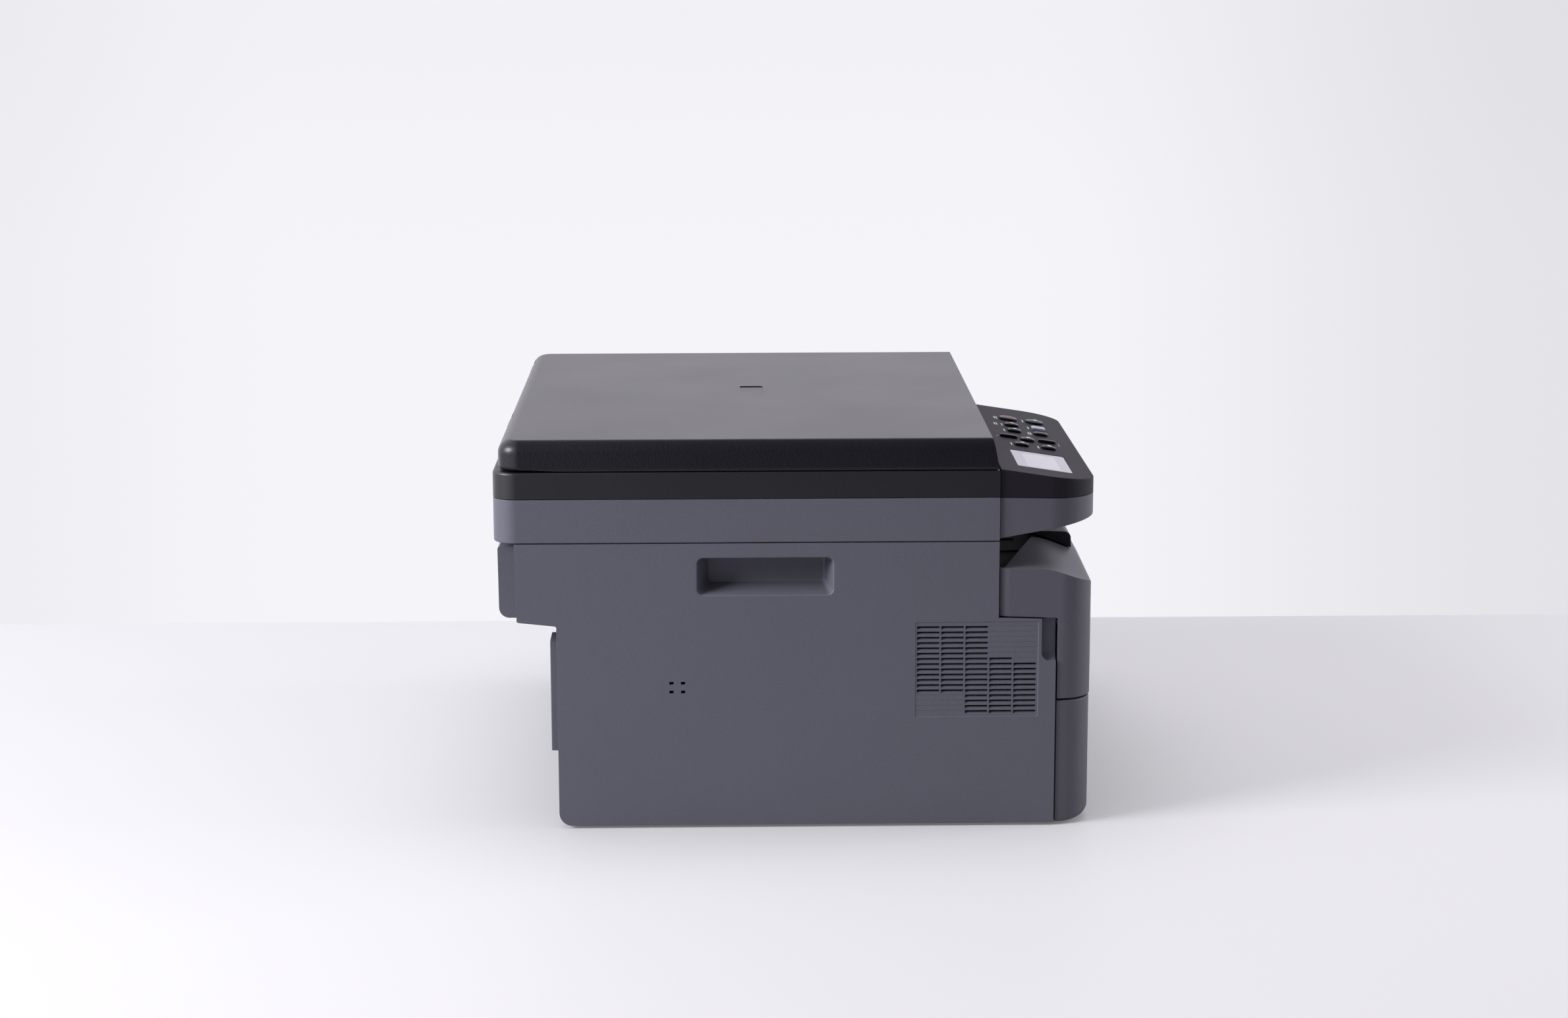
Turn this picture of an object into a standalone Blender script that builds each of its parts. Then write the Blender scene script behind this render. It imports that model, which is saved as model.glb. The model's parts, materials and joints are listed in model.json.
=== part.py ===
"""Multifunction laser printer: a flatbed scanner over a desktop laser engine.

Metres. The origin is the middle of the footprint on the table.
+X is the printer's right, -Y its front, +Z up.
"""
import math

import bmesh
import bpy
from mathutils import Matrix, Vector

# Overall sizes
HALF_WIDTH = 0.2050
BODY_BOTTOM = 0.0019
BODY_TOP = 0.1945
BODY_FRONT = -0.1728
BODY_REAR = 0.1585
UPPER_FRONT = -0.1348
UPPER_REAR = 0.1856
STEP_LOW = 0.1400
STEP_HIGH = 0.1438
WALL = 0.0026
GAP = 0.0004

# Side covers and what stands between them
SIDE_INNER = 0.1870
BETWEEN_SIDES = 0.1858
NOTCH_TOP = 0.1432
FRAME_WALL = 0.0040
DECK_LOW = 0.0880
DECK_HIGH = 0.0900
FRAME_TOP = 0.1501
FRAME_FRONT = -0.1300
FRAME_REAR = 0.1551

# Scanner
HOUSING_BOTTOM = 0.1950
HOUSING_TOP = 0.2242
RIM_BOTTOM = 0.2246
RIM_TOP = 0.2424
SCANNER_FRONT = -0.1346
SCANNER_REAR = 0.1996
SCANNER_CORNER = 0.0160
GLASS_HALF = 0.1545
GLASS_FRONT = -0.1025
GLASS_REAR = 0.1265
ROD_Y = 0.0120
ROD_Z = 0.2052
CARRIAGE_HOME = -0.1490

# Lid
LID_BOTTOM = 0.2429
LID_TOP = 0.2630
LID_HALF = 0.2046
LID_FRONT = -0.1340
LID_LEAN = 0.0036
LID_REAR = 0.1957
LID_PANEL = 0.2480
LID_AXIS_Y = 0.1928
LID_AXIS_Z = 0.2502
# Middle of each hinge along X
HINGES = {"left_lid_hinge": -0.0790, "right_lid_hinge": 0.1760}
HINGE_HALF = 0.0118

# Control panel, tilted down to the front
PANEL_LEFT = -0.2035
PANEL_RIGHT = 0.0685
PANEL_REAR = -0.1350
PANEL_FRONT = -0.1996
PANEL_LEFT_CORNER = 0.0450
PANEL_RIGHT_CORNER = 0.0260
PANEL_REAR_TOP = 0.2430
PANEL_TILT = math.atan(0.1544)
PANEL_SKIN = 0.0022
KEY_PROUD = 0.0011
KEY_DEEP = 0.0044
BOARD_TOP = -0.0054
BOARD_THICK = 0.0016
# Display: middle along X, middle along the slope, width, height
DISPLAY = (-0.1468, 0.0324, 0.0620, 0.0370)
# Keys: middle along X, middle along the slope, size along X, size along the slope, corner
KEYS = {
    "stop_key": (0.0180, 0.0247, 0.0140, 0.0124, 0.0060),
    "menu_key": (-0.0105, 0.0247, 0.0090, 0.0096, 0.0036),
    "clear_key": (-0.0350, 0.0245, 0.0090, 0.0096, 0.0036),
    "up_key": (-0.0640, 0.0178, 0.0048, 0.0122, 0.0022),
    "ok_key": (-0.0670, 0.0309, 0.0100, 0.0094, 0.0026),
    "back_key": (-0.0915, 0.0245, 0.0090, 0.0096, 0.0036),
    "start_key": (0.0190, 0.0442, 0.0140, 0.0124, 0.0060),
    "wireless_key": (-0.0090, 0.0441, 0.0100, 0.0098, 0.0036),
    "copy_key": (-0.0335, 0.0436, 0.0090, 0.0098, 0.0036),
    "down_key": (-0.0645, 0.0449, 0.0048, 0.0122, 0.0022),
    "options_key": (-0.0900, 0.0435, 0.0090, 0.0098, 0.0036),
}

# Front cover and the flap on it
COVER_HALF = 0.2035
COVER_BOTTOM = 0.0874
COVER_STEP = 0.1439
COVER_FRONT = -0.1980
COVER_REAR = -0.1352
COVER_SEAM = -0.1740
COVER_CORNER = 0.0220
COVER_CROWN = 0.0033
COVER_AXIS_Y = -0.1955
COVER_AXIS_Z = 0.0912
FLAP_HALF = 0.1100
FLAP_AXIS_Y = -0.1684
FLAP_AXIS_Z = 0.1808
SLOT_HALF = 0.1250
SLOT_LOW = 0.0920
SLOT_HIGH = 0.1184
SLOT_AXIS_Y = -0.1964
SLOT_AXIS_Z = 0.0946

# Paper cassette
CASSETTE_TOP = 0.0865
CASSETTE_BOTTOM = 0.0021
CASSETTE_FRONT = -0.1975
CASSETTE_SEAM = -0.1735
TRAY_HALF = 0.1800
TRAY_REAR = 0.1350
TRAY_FLOOR = 0.0080
TRAY_TOP = 0.0780

# Rear door over the fuser
DOOR_LOW = 0.1424
DOOR_TOP = 0.1895
DOOR_REAR = 0.1978
DOOR_INNER = 0.1850
DOOR_AXIS_Y = 0.1905
DOOR_AXIS_Z = 0.1446

# Engine: (y, z) of each turning piece
DRUM = (0.0000, 0.1222)
DRUM_RADIUS = 0.0120
TRANSFER = (0.0000, 0.1028)
TRANSFER_RADIUS = 0.0070
HEAT = (0.1120, 0.1302)
HEAT_RADIUS = 0.0120
PRESSURE = (0.1120, 0.1078)
PRESSURE_RADIUS = 0.0100
PICKUP = (-0.1130, 0.0955)
PICKUP_RADIUS = 0.0105
EXIT = (0.1310, 0.1775)
EXIT_RADIUS = 0.0068
GEAR = (0.0040, 0.1000)
GEAR_TEETH = 40
PINION = (0.0400, 0.1000)
PINION_TEETH = 8
MODULE = 0.0015
FAN = (-0.1215, 0.1085)
FAN_HALF = 0.0300

# Finishes: sRGB colour, roughness, metallic
FINISHES = {
    "body grey": ("5C5C66", 0.55, 0.0),
    "front grey": ("4E4E54", 0.55, 0.0),
    "lid grey": ("6E6D72", 0.42, 0.0),
    "rim black": ("2A2A30", 0.45, 0.0),
    "panel grey": ("515055", 0.50, 0.0),
    "inner black": ("1B1B1E", 0.60, 0.0),
    "key black": ("1E1E22", 0.40, 0.0),
    "stop red": ("5A2C34", 0.40, 0.0),
    "start green": ("26382C", 0.40, 0.0),
    "lit key": ("C3C2DC", 0.35, 0.0),
    "display": ("C8C6CE", 0.20, 0.0),
    "glass": ("BFD0CE", 0.05, 0.0),
    "white sheet": ("E9E9E6", 0.70, 0.0),
    "steel": ("A5A7AA", 0.35, 1.0),
    "rubber": ("232325", 0.85, 0.0),
    "board green": ("2F5A3C", 0.50, 0.0),
    "drum green": ("3C7A78", 0.25, 0.0),
    "roller orange": ("8A4A32", 0.60, 0.0),
    "gear white": ("D8D6CF", 0.50, 0.0),
}

PLANES = {
    "XY": Matrix.Identity(4),
    "YZ": Matrix(((0, 0, 1, 0), (1, 0, 0, 0), (0, 1, 0, 0), (0, 0, 0, 1))),
    "XZ": Matrix(((1, 0, 0, 0), (0, 0, -1, 0), (0, 1, 0, 0), (0, 0, 0, 1))),
}


def clear_scene():
    for obj in list(bpy.data.objects):
        bpy.data.objects.remove(obj, do_unlink=True)


def new_collection(name):
    group = bpy.data.collections.new(name)
    bpy.context.scene.collection.children.link(group)
    return group


clear_scene()
PARTS = new_collection("multifunction_laser_printer")
CUTTERS = new_collection("cutters")


def linear(channel):
    if channel <= 0.04045:
        return channel / 12.92
    return ((channel + 0.055) / 1.055) ** 2.4


def dress(obj, finish):
    """Give a piece its own material with the colour and gloss of a finish."""
    colour, roughness, metallic = FINISHES[finish]
    rgb = [linear(int(colour[i:i + 2], 16) / 255) for i in (0, 2, 4)]
    material = bpy.data.materials.new(obj.name)
    material.use_nodes = True
    shader = material.node_tree.nodes["Principled BSDF"]
    shader.inputs["Base Color"].default_value = (*rgb, 1.0)
    shader.inputs["Roughness"].default_value = roughness
    shader.inputs["Metallic"].default_value = metallic
    obj.data.materials.clear()
    obj.data.materials.append(material)
    return obj


def add_solid(name, bm):
    bmesh.ops.recalc_face_normals(bm, faces=bm.faces)
    mesh = bpy.data.meshes.new(name)
    bm.to_mesh(mesh)
    bm.free()
    obj = bpy.data.objects.new(name, mesh)
    PARTS.objects.link(obj)
    return obj


def add_cube(bm, x, y, z):
    size = (x[1] - x[0], y[1] - y[0], z[1] - z[0])
    middle = (sum(x) / 2, sum(y) / 2, sum(z) / 2)
    place = Matrix.Translation(middle) @ Matrix.Diagonal((*size, 1.0))
    bmesh.ops.create_cube(bm, size=1.0, matrix=place)


def boxes(name, ranges):
    """One object of separate boxes, each given by its x, y and z range."""
    bm = bmesh.new()
    for x, y, z in ranges:
        add_cube(bm, x, y, z)
    return add_solid(name, bm)


def box(name, x, y, z):
    return boxes(name, [(x, y, z)])


def rod(name, radius, start, length, axis="X", sides=20):
    """Cylinder that runs from a start point along +X, +Y or +Z."""
    turn = {"X": Matrix.Rotation(math.pi / 2, 4, "Y"),
            "Y": Matrix.Rotation(-math.pi / 2, 4, "X"),
            "Z": Matrix.Identity(4)}[axis]
    place = Matrix.Translation(start) @ turn @ Matrix.Translation((0, 0, length / 2))
    bm = bmesh.new()
    bmesh.ops.create_cone(bm, cap_ends=True, segments=sides, radius1=radius,
                          radius2=radius, depth=length, matrix=place)
    obj = add_solid(name, bm)
    smooth(obj)
    return obj


def smooth(obj):
    obj.data.shade_smooth()
    obj.data.set_sharp_from_angle(angle=math.radians(35))


def rounded(corners, steps=4):
    """Outline through (u, v, radius) corners, each radius turned into an arc."""
    outline = []
    count = len(corners)
    for index, (u, v, radius) in enumerate(corners):
        here = Vector((u, v))
        if radius == 0:
            outline.append((u, v))
            continue
        back = (Vector(corners[index - 1][:2]) - here).normalized()
        ahead = (Vector(corners[(index + 1) % count][:2]) - here).normalized()
        half = back.angle(ahead) / 2
        middle = here + (back + ahead).normalized() * radius / math.sin(half)
        first = here + back * radius / math.tan(half) - middle
        last = here + ahead * radius / math.tan(half) - middle
        start = math.atan2(first.y, first.x)
        sweep = math.atan2(last.y, last.x) - start
        sweep = (sweep + math.pi) % (2 * math.pi) - math.pi
        for step in range(steps + 1):
            angle = start + sweep * step / steps
            outline.append((middle.x + radius * math.cos(angle),
                            middle.y + radius * math.sin(angle)))
    return outline


def rectangle(u, v, radius=0.0, steps=4):
    corners = [(u[0], v[0], radius), (u[1], v[0], radius),
               (u[1], v[1], radius), (u[0], v[1], radius)]
    return rounded(corners, steps)


def inset(corners, distance):
    """The same corner list moved inward by a wall thickness."""
    area = sum(a[0] * b[1] - b[0] * a[1]
               for a, b in zip(corners, corners[1:] + corners[:1]))
    side = 1.0 if area > 0 else -1.0
    moved = []
    count = len(corners)
    for index, (u, v, radius) in enumerate(corners):
        here = Vector((u, v))
        before = (here - Vector(corners[index - 1][:2])).normalized()
        after = (Vector(corners[(index + 1) % count][:2]) - here).normalized()
        normal_a = Vector((-before.y, before.x)) * side
        normal_b = Vector((-after.y, after.x)) * side
        bisector = (normal_a + normal_b).normalized()
        reach = distance / bisector.dot(normal_a)
        moved.append((u + bisector.x * reach, v + bisector.y * reach,
                      max(0.0, radius - distance)))
    return moved


def plate(name, loops, plane, low, high):
    """Flat outline, with further loops as holes, drawn as a 2D curve and given thickness."""
    curve = bpy.data.curves.new(name, "CURVE")
    curve.dimensions = "2D"
    curve.fill_mode = "BOTH"
    curve.extrude = (high - low) / 2
    for loop in loops:
        spline = curve.splines.new("POLY")
        spline.points.add(len(loop) - 1)
        for point, (u, v) in zip(spline.points, loop):
            point.co = (u, v, 0.0, 1.0)
        spline.use_cyclic_u = True
    drawing = bpy.data.objects.new(name, curve)
    CUTTERS.objects.link(drawing)
    bpy.context.view_layer.update()
    depsgraph = bpy.context.evaluated_depsgraph_get()
    mesh = bpy.data.meshes.new_from_object(drawing.evaluated_get(depsgraph))
    bpy.data.objects.remove(drawing, do_unlink=True)
    middle = (low + high) / 2
    lift = Matrix.Translation((0, 0, -middle if plane == "XZ" else middle))
    mesh.transform(PLANES[plane] @ lift)
    bm = bmesh.new()
    bm.from_mesh(mesh)
    bmesh.ops.remove_doubles(bm, verts=bm.verts, dist=0.00001)
    bmesh.ops.dissolve_limit(bm, angle_limit=0.002, verts=bm.verts, edges=bm.edges)
    bpy.data.meshes.remove(mesh)
    return add_solid(name, bm)


def loft(name, sections):
    """Skin over sections with equal numbers of (x, y, z) points, closed at both ends."""
    bm = bmesh.new()
    rings = [[bm.verts.new(point) for point in section] for section in sections]
    count = len(rings[0])
    for ring, following in zip(rings, rings[1:]):
        for index in range(count):
            after = (index + 1) % count
            bm.faces.new((ring[index], ring[after], following[after], following[index]))
    bm.faces.new(rings[0])
    bm.faces.new(rings[-1])
    return add_solid(name, bm)


def turned(name, profile, centre, sides=20):
    """Piece turned about an axis along X through (y, z), from (radius, x) points."""
    bm = bmesh.new()
    ring = [bm.verts.new((radius, 0.0, x)) for radius, x in reversed(profile)]
    for start, end in zip(ring, ring[1:]):
        bm.edges.new((start, end))
    mesh = bpy.data.meshes.new(name)
    bm.to_mesh(mesh)
    bm.free()
    obj = bpy.data.objects.new(name, mesh)
    PARTS.objects.link(obj)
    obj.location = (0.0, *centre)
    obj.rotation_euler = (0.0, math.pi / 2, 0.0)
    screw = obj.modifiers.new("turn", "SCREW")
    screw.axis = "Z"
    screw.steps = sides
    screw.render_steps = sides
    screw.use_merge_vertices = True
    screw.merge_threshold = 0.00001
    return obj


def stepped_shaft(stations):
    """Profile of a shaft from (x, radius) stations, closed on its axis at both ends."""
    profile = [(0.0, stations[0][0])]
    for (start, radius), (end, _) in zip(stations, stations[1:]):
        profile += [(radius, start), (radius, end)]
    return profile + [(0.0, stations[-1][0])]


def use_as_cutter(obj):
    for group in list(obj.users_collection):
        group.objects.unlink(obj)
    CUTTERS.objects.link(obj)
    obj.hide_render = True
    obj.display_type = "WIRE"


def combine(obj, other, operation):
    use_as_cutter(other)
    boolean = obj.modifiers.new(other.name, "BOOLEAN")
    boolean.operation = operation
    boolean.solver = "EXACT"
    boolean.object = other
    return obj


def cut(obj, *others):
    for other in others:
        combine(obj, other, "DIFFERENCE")
    return obj


def fuse(obj, *others):
    for other in others:
        combine(obj, other, "UNION")
    return obj


def keep_inside(obj, other):
    return combine(obj, other, "INTERSECT")


def round_edges(obj, width, segments, weigh):
    """Bevel the edges that weigh(a, b) gives a share of the full width."""
    mesh = obj.data
    weights = mesh.attributes.new("bevel_weight_edge", "FLOAT", "EDGE")
    for edge in mesh.edges:
        a, b = (mesh.vertices[i].co for i in edge.vertices)
        weights.data[edge.index].value = weigh(a, b)
    bevel = obj.modifiers.new("edges", "BEVEL")
    bevel.limit_method = "WEIGHT"
    bevel.width = width
    bevel.segments = segments
    return obj


def soften(obj, width, segments=2, angle=40):
    """Bevel every edge that is sharper than an angle."""
    bevel = obj.modifiers.new("soften", "BEVEL")
    bevel.limit_method = "ANGLE"
    bevel.angle_limit = math.radians(angle)
    bevel.width = width
    bevel.segments = segments
    return obj


def pivot(name, place, parent=None):
    """Empty on a joint's axis, which carries the pieces that move with it."""
    empty = bpy.data.objects.new(name, None)
    PARTS.objects.link(empty)
    empty.location = place
    if parent:
        empty.parent = parent
        empty.matrix_parent_inverse = Matrix.Translation(-parent_place(parent))
    empty["place"] = place
    return empty


def parent_place(empty):
    return Vector(empty["place"])


def ride(obj, empty):
    obj.parent = empty
    obj.matrix_parent_inverse = Matrix.Translation(-parent_place(empty))
    return obj


# Side covers


def side_corners():
    """Outline of a side cover in (y, z, radius), from its top front corner round the rear."""
    return [
        (UPPER_FRONT, BODY_TOP, 0.0),
        (UPPER_FRONT, NOTCH_TOP, 0.0),
        (BODY_FRONT, NOTCH_TOP, 0.0),
        (BODY_FRONT, BODY_BOTTOM, 0.0),
        (BODY_REAR, BODY_BOTTOM, 0.0090),
        (BODY_REAR, STEP_LOW, 0.0015),
        (UPPER_REAR - 0.0010, STEP_HIGH, 0.0012),
        (UPPER_REAR, BODY_TOP, 0.0),
    ]


def pocket_section(x, y, z, radius):
    return [(x, u, v) for u, v in rectangle(y, z, radius, 3)]


def handle_pocket(name, side):
    """Carrying handle: a drafted pocket with a floor that slopes up inwards."""
    return loft(name, [
        pocket_section(side * 0.2060, (-0.0255, 0.0651), (0.1601, 0.1853), 0.0042),
        pocket_section(side * 0.2048, (-0.0250, 0.0646), (0.1604, 0.1850), 0.0040),
        pocket_section(side * 0.1912, (-0.0206, 0.0590), (0.1640, 0.1846), 0.0030),
        pocket_section(side * 0.1888, (-0.0186, 0.0570), (0.1664, 0.1830), 0.0020),
    ])


def grille_slots(name, side, columns):
    """Louvres: slots that rise inwards, in (first row, last row) columns from the rear."""
    pitch_y = 0.0162
    pitch_z = 0.00358
    width = 0.0149
    opening = 0.0017
    rise = 0.0012
    top = 0.1392
    rear = -0.0786
    bm = bmesh.new()
    for column, (first, last) in enumerate(columns):
        y = rear - column * pitch_y
        for row in range(first - 1, last):
            z = top - row * pitch_z
            add_cube(bm, (side * 0.2060, side * 0.2015), (y - width, y), (z - opening, z))
    for vert in bm.verts:
        vert.co.z += (HALF_WIDTH - abs(vert.co.x)) / WALL * rise
    return add_solid(name, bm)


def side_cover(name, side, columns):
    """Moulded side wall, open inwards, with its handle, grille and finger notch."""
    outer = side * HALF_WIDTH
    inner = side * SIDE_INNER
    corners = side_corners()
    cover = plate(name, [rounded(corners, 3)], "YZ", min(outer, inner), max(outer, inner))

    def weigh(a, b):
        if min(abs(a.x), abs(b.x)) < HALF_WIDTH - 0.0001:
            return 0.0
        upright = abs(a.z - b.z) / (a - b).length
        if min(a.y, b.y) > UPPER_REAR - 0.0040:
            return 0.15 + 0.25 * upright
        if min(a.y, b.y) > BODY_REAR - 0.0100:
            return 0.15 + 0.85 * upright
        return 0.15

    round_edges(cover, 0.0060, 3, weigh)
    deep = side * (HALF_WIDTH - WALL)
    past = side * (SIDE_INNER - 0.0100)
    hollow = plate(name + "_hollow", [rounded(inset(corners, WALL), 3)], "YZ",
                   min(deep, past), max(deep, past))
    cut(cover, hollow)
    block_x = (side * (HALF_WIDTH - WALL + 0.0006), side * 0.1864)
    block = box(name + "_pocket_block", sorted(block_x), (-0.0285, 0.0681), (0.1575, 0.1880))
    notch_block = box(name + "_notch_block", sorted((block_x[0], side * 0.1930)),
                      (BODY_FRONT + 0.0006, -0.1600), (0.1120, NOTCH_TOP - 0.0006))
    fuse(cover, block, notch_block)
    cut(cover, handle_pocket(name + "_pocket", side))
    notch = box(name + "_notch", sorted((side * 0.2070, side * 0.1990)),
                (-0.1800, -0.1632), (0.1150, 0.1500))
    soften(notch, 0.0035, 3)
    cut(cover, notch)
    cut(cover, grille_slots(name + "_slots", side, columns))
    return dress(cover, "body grey")


def small_slots():
    """Four short slots in two rows on the left side."""
    ranges = []
    for y in (0.0827, 0.0750):
        for z in (0.0999, 0.0931):
            ranges.append(((-0.2060, -0.2010), (y - 0.00145, y + 0.00145),
                           (z - 0.0010, z + 0.0010)))
    return boxes("left_small_slots", ranges)


def side_covers():
    left = side_cover("left_side_cover", -1, [(1, 13), (1, 13), (1, 17), (7, 17), (8, 17)])
    cut(left, small_slots())
    side_cover("right_side_cover", 1, [(3, 13), (3, 13)])


# Floor, frame and rear


def bottom_pan():
    """Sheet floor with its four feet, which are fused to it."""
    pan = box("bottom_pan", (-BETWEEN_SIDES, BETWEEN_SIDES), (-0.1690, FRAME_REAR),
              (BODY_BOTTOM, 0.0050))
    for x in (-0.1650, 0.1650):
        for y in (-0.1400, 0.1300):
            fuse(pan, rod("foot", 0.0085, (x, y, 0.0), 0.0040, "Z"))
    dress(pan, "inner black")


def engine_frame():
    """Side frames, deck over the cassette and cross members, in one piece."""
    inner = BETWEEN_SIDES - FRAME_WALL
    frame = box("engine_frame", (-BETWEEN_SIDES, BETWEEN_SIDES), (FRAME_FRONT, FRAME_REAR),
                (0.0054, FRAME_TOP))
    back = FRAME_REAR - 0.0030
    cut(frame,
        box("cassette_bay", (-inner, inner), (-0.2, back), (0.0, DECK_LOW)),
        box("engine_bay", (-inner, inner), (FRAME_FRONT + 0.004, back), (DECK_HIGH, 0.2)),
        box("front_mouth", (-inner, inner), (-0.2, -0.12), (DECK_HIGH, 0.1400)),
        box("rear_mouth", (-0.160, 0.160), (0.14, 0.17), (DECK_HIGH, 0.1400)),
        box("feed_opening", (-0.060, 0.060), (-0.1262, -0.0980), (0.08, DECK_HIGH + 0.001)),
        box("inlet_opening", (0.1350, 0.1660), (0.14, 0.17), (0.0160, 0.0420)),
        box("port_opening", (-0.1580, -0.1420), (0.14, 0.17), (0.0180, 0.0330)))
    for y, z, radius in ((-0.0800, 0.0520, 0.0180), (0.0900, 0.0520, 0.0180)):
        cut(frame, rod("frame_hole", radius, (-0.2, y, z), 0.4))
    fuse(frame, rod("gear_stud", 0.0032, (BETWEEN_SIDES - 0.001, *GEAR), 0.0074, sides=12))
    dress(frame, "inner black")


def rear_panel():
    """Z-shaped rear wall: lower wall, step and upper wall with the fuser window."""
    sheet = 0.0027
    low = BODY_REAR - 0.0003
    high = 0.1840
    points = [
        (low, CASSETTE_BOTTOM), (low, 0.1396), (high, 0.1434), (high, BODY_TOP - 0.0003),
        (high - sheet, BODY_TOP - 0.0003), (high - sheet, 0.1434 + sheet),
        (low - sheet, 0.1396 + sheet), (low - sheet, CASSETTE_BOTTOM),
    ]
    panel = plate("rear_panel", [points], "YZ", -BETWEEN_SIDES, BETWEEN_SIDES)
    vents = [((x, x + 0.0030), (0.1500, 0.1600), (0.0100, 0.0400))
             for x in [-0.0360 + 0.0080 * i for i in range(10)]]
    cut(panel,
        box("fuser_window", (-0.1650, 0.1650), (0.1780, 0.1900), (0.1520, 0.1860)),
        box("inlet_hole", (0.1366, 0.1644), (0.15, 0.17), (0.0176, 0.0404)),
        box("port_hole", (-0.1564, -0.1436), (0.15, 0.17), (0.0196, 0.0314)),
        boxes("rear_vents", vents))
    dress(panel, "body grey")


def rear_lower_cover():
    points = [(0.1586, 0.0497), (0.1646, 0.0497), (0.1646, 0.1236), (0.1630, 0.1276),
              (0.1586, 0.1276)]
    cover = plate("rear_lower_cover", [points], "YZ", -0.1850, 0.1850)
    soften(cover, 0.0008, 1)
    cut(cover, box("rear_lower_hollow", (-0.1826, 0.1826), (0.1500, 0.1622), (0.0521, 0.1250)))
    dress(cover, "body grey")


def rear_cover():
    """Door over the fuser: rounded tray shape that swings down to the rear."""
    corners = [(DOOR_INNER, DOOR_LOW, 0.0), (DOOR_REAR - 0.0004, DOOR_LOW, 0.0070),
               (DOOR_REAR, DOOR_TOP, 0.0020), (DOOR_INNER, DOOR_TOP, 0.0)]
    door = plate("rear_cover", [rounded(corners, 4)], "YZ", -BETWEEN_SIDES, BETWEEN_SIDES)

    def weigh(a, b):
        side = abs(a.x - b.x) < 0.001
        return 1.0 if side and min(a.y, b.y) > DOOR_INNER + 0.0005 else 0.0

    round_edges(door, 0.0030, 3, weigh)
    cut(door, box("rear_cover_hollow", (-0.1828, 0.1828), (0.1800, 0.1953), (0.1450, 0.1868)))
    grip = box("rear_cover_grip", (-0.0300, 0.0300), (0.1960, 0.2), (0.1840, 0.2))
    cut(door, soften(grip, 0.0015, 1))
    dress(door, "body grey")
    ride(door, pivot("rear_cover_axis", (0.0, DOOR_AXIS_Y, DOOR_AXIS_Z)))


def output_tray():
    """Black paper tray under the scanner, low at the rear and rising to the front."""
    half = BETWEEN_SIDES
    floor = [(0.1180, 0.1570), (0.0600, 0.1592), (-0.0200, 0.1652), (-0.1000, 0.1718),
             (-0.1710, 0.1742)]
    tray = box("output_tray", (-0.1996, 0.1996), (-0.1660, 0.1806), (FRAME_TOP + GAP, 0.1940))
    plan = [(-half, 0.1806), (-half, -0.1354), (-0.1996, -0.1354), (-0.1996, -0.1380),
            (-0.1060, -0.1658), (0.1060, -0.1658), (0.1996, -0.1380), (0.1996, -0.1354),
            (half, -0.1354), (half, 0.1806)]
    keep_inside(tray, plate("tray_plan", [plan], "XY", 0.1, 0.3))
    bowl = floor + [(-0.1710, 0.2500), (0.1215, 0.2500), (0.1215, 0.1610)]
    under = [(y, z - 0.0028) for y, z in floor[:-1]]
    under += [(-0.1620, 0.1708), (-0.1620, 0.1400), (0.1180, 0.1400)]
    cut(tray,
        plate("tray_bowl", [bowl], "YZ", -0.1540, 0.1540),
        box("tray_shoulder", (-0.1834, 0.1834), (-0.1400, 0.1215), (0.1790, 0.2)),
        box("tray_front", (-0.2100, 0.2100), (-0.1800, -0.1350), (0.1742, 0.2)),
        plate("tray_under", [under], "YZ", -0.1512, 0.1512),
        box("tray_front_under", (-0.1800, 0.1800), (-0.1620, -0.1380), (0.14, 0.1714)),
        box("tray_sides_under", (-0.1834, -0.1540), (-0.1300, 0.1800), (0.14, 0.1764)),
        box("tray_right_under", (0.1540, 0.1834), (-0.1300, 0.1800), (0.14, 0.1764)),
        box("tray_rear_under", (-0.1834, 0.1834), (0.1245, 0.2), (0.14, 0.1912)),
        box("exit_slot", (-0.1300, 0.1300), (0.1180, 0.1300), (0.1680, 0.1880)))
    dress(tray, "inner black")


# Scanner


def scanner_plan(margin=0.0):
    corners = [(-HALF_WIDTH, SCANNER_FRONT, 0.0), (HALF_WIDTH, SCANNER_FRONT, 0.0),
               (HALF_WIDTH, SCANNER_REAR, SCANNER_CORNER),
               (-HALF_WIDTH, SCANNER_REAR, SCANNER_CORNER)]
    return rounded(inset(corners, margin) if margin else corners, 5)


def scanner_housing():
    """Grey tub under the glass."""
    housing = plate("scanner_housing", [scanner_plan()], "XY", HOUSING_BOTTOM, HOUSING_TOP)

    def weigh(a, b):
        return 1.0 if max(a.z, b.z) < HOUSING_BOTTOM + 0.0001 else 0.0

    round_edges(housing, 0.0009, 1, weigh)
    cut(housing, plate("housing_hollow", [scanner_plan(WALL)], "XY",
                       HOUSING_BOTTOM + WALL, HOUSING_TOP + 0.01))
    dress(housing, "body grey")


def scanner_top_frame():
    """Black rim that holds the glass in a rebate."""
    frame = plate("scanner_top_frame", [scanner_plan()], "XY", RIM_BOTTOM, RIM_TOP)

    def weigh(a, b):
        top = min(a.z, b.z) > RIM_TOP - 0.0001
        rear = min(a.y, b.y) > SCANNER_REAR - 0.0170
        return (1.0 if rear else 0.3) if top else 0.0

    round_edges(frame, 0.0020, 2, weigh)
    cut(frame,
        plate("rim_hollow", [scanner_plan(WALL)], "XY", RIM_BOTTOM - 0.01, 0.2370),
        box("glass_aperture", (-0.1510, 0.1510), (-0.0990, 0.1230), (0.2, 0.3)),
        box("glass_rebate", (-GLASS_HALF - GAP, GLASS_HALF + GAP),
            (GLASS_FRONT - GAP, GLASS_REAR + GAP), (0.2394, 0.3)))
    dress(frame, "rim black")
    glass = box("flatbed_glass", (-GLASS_HALF, GLASS_HALF), (GLASS_FRONT, GLASS_REAR),
                (0.2398, 0.2420))
    dress(glass, "glass")


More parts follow.
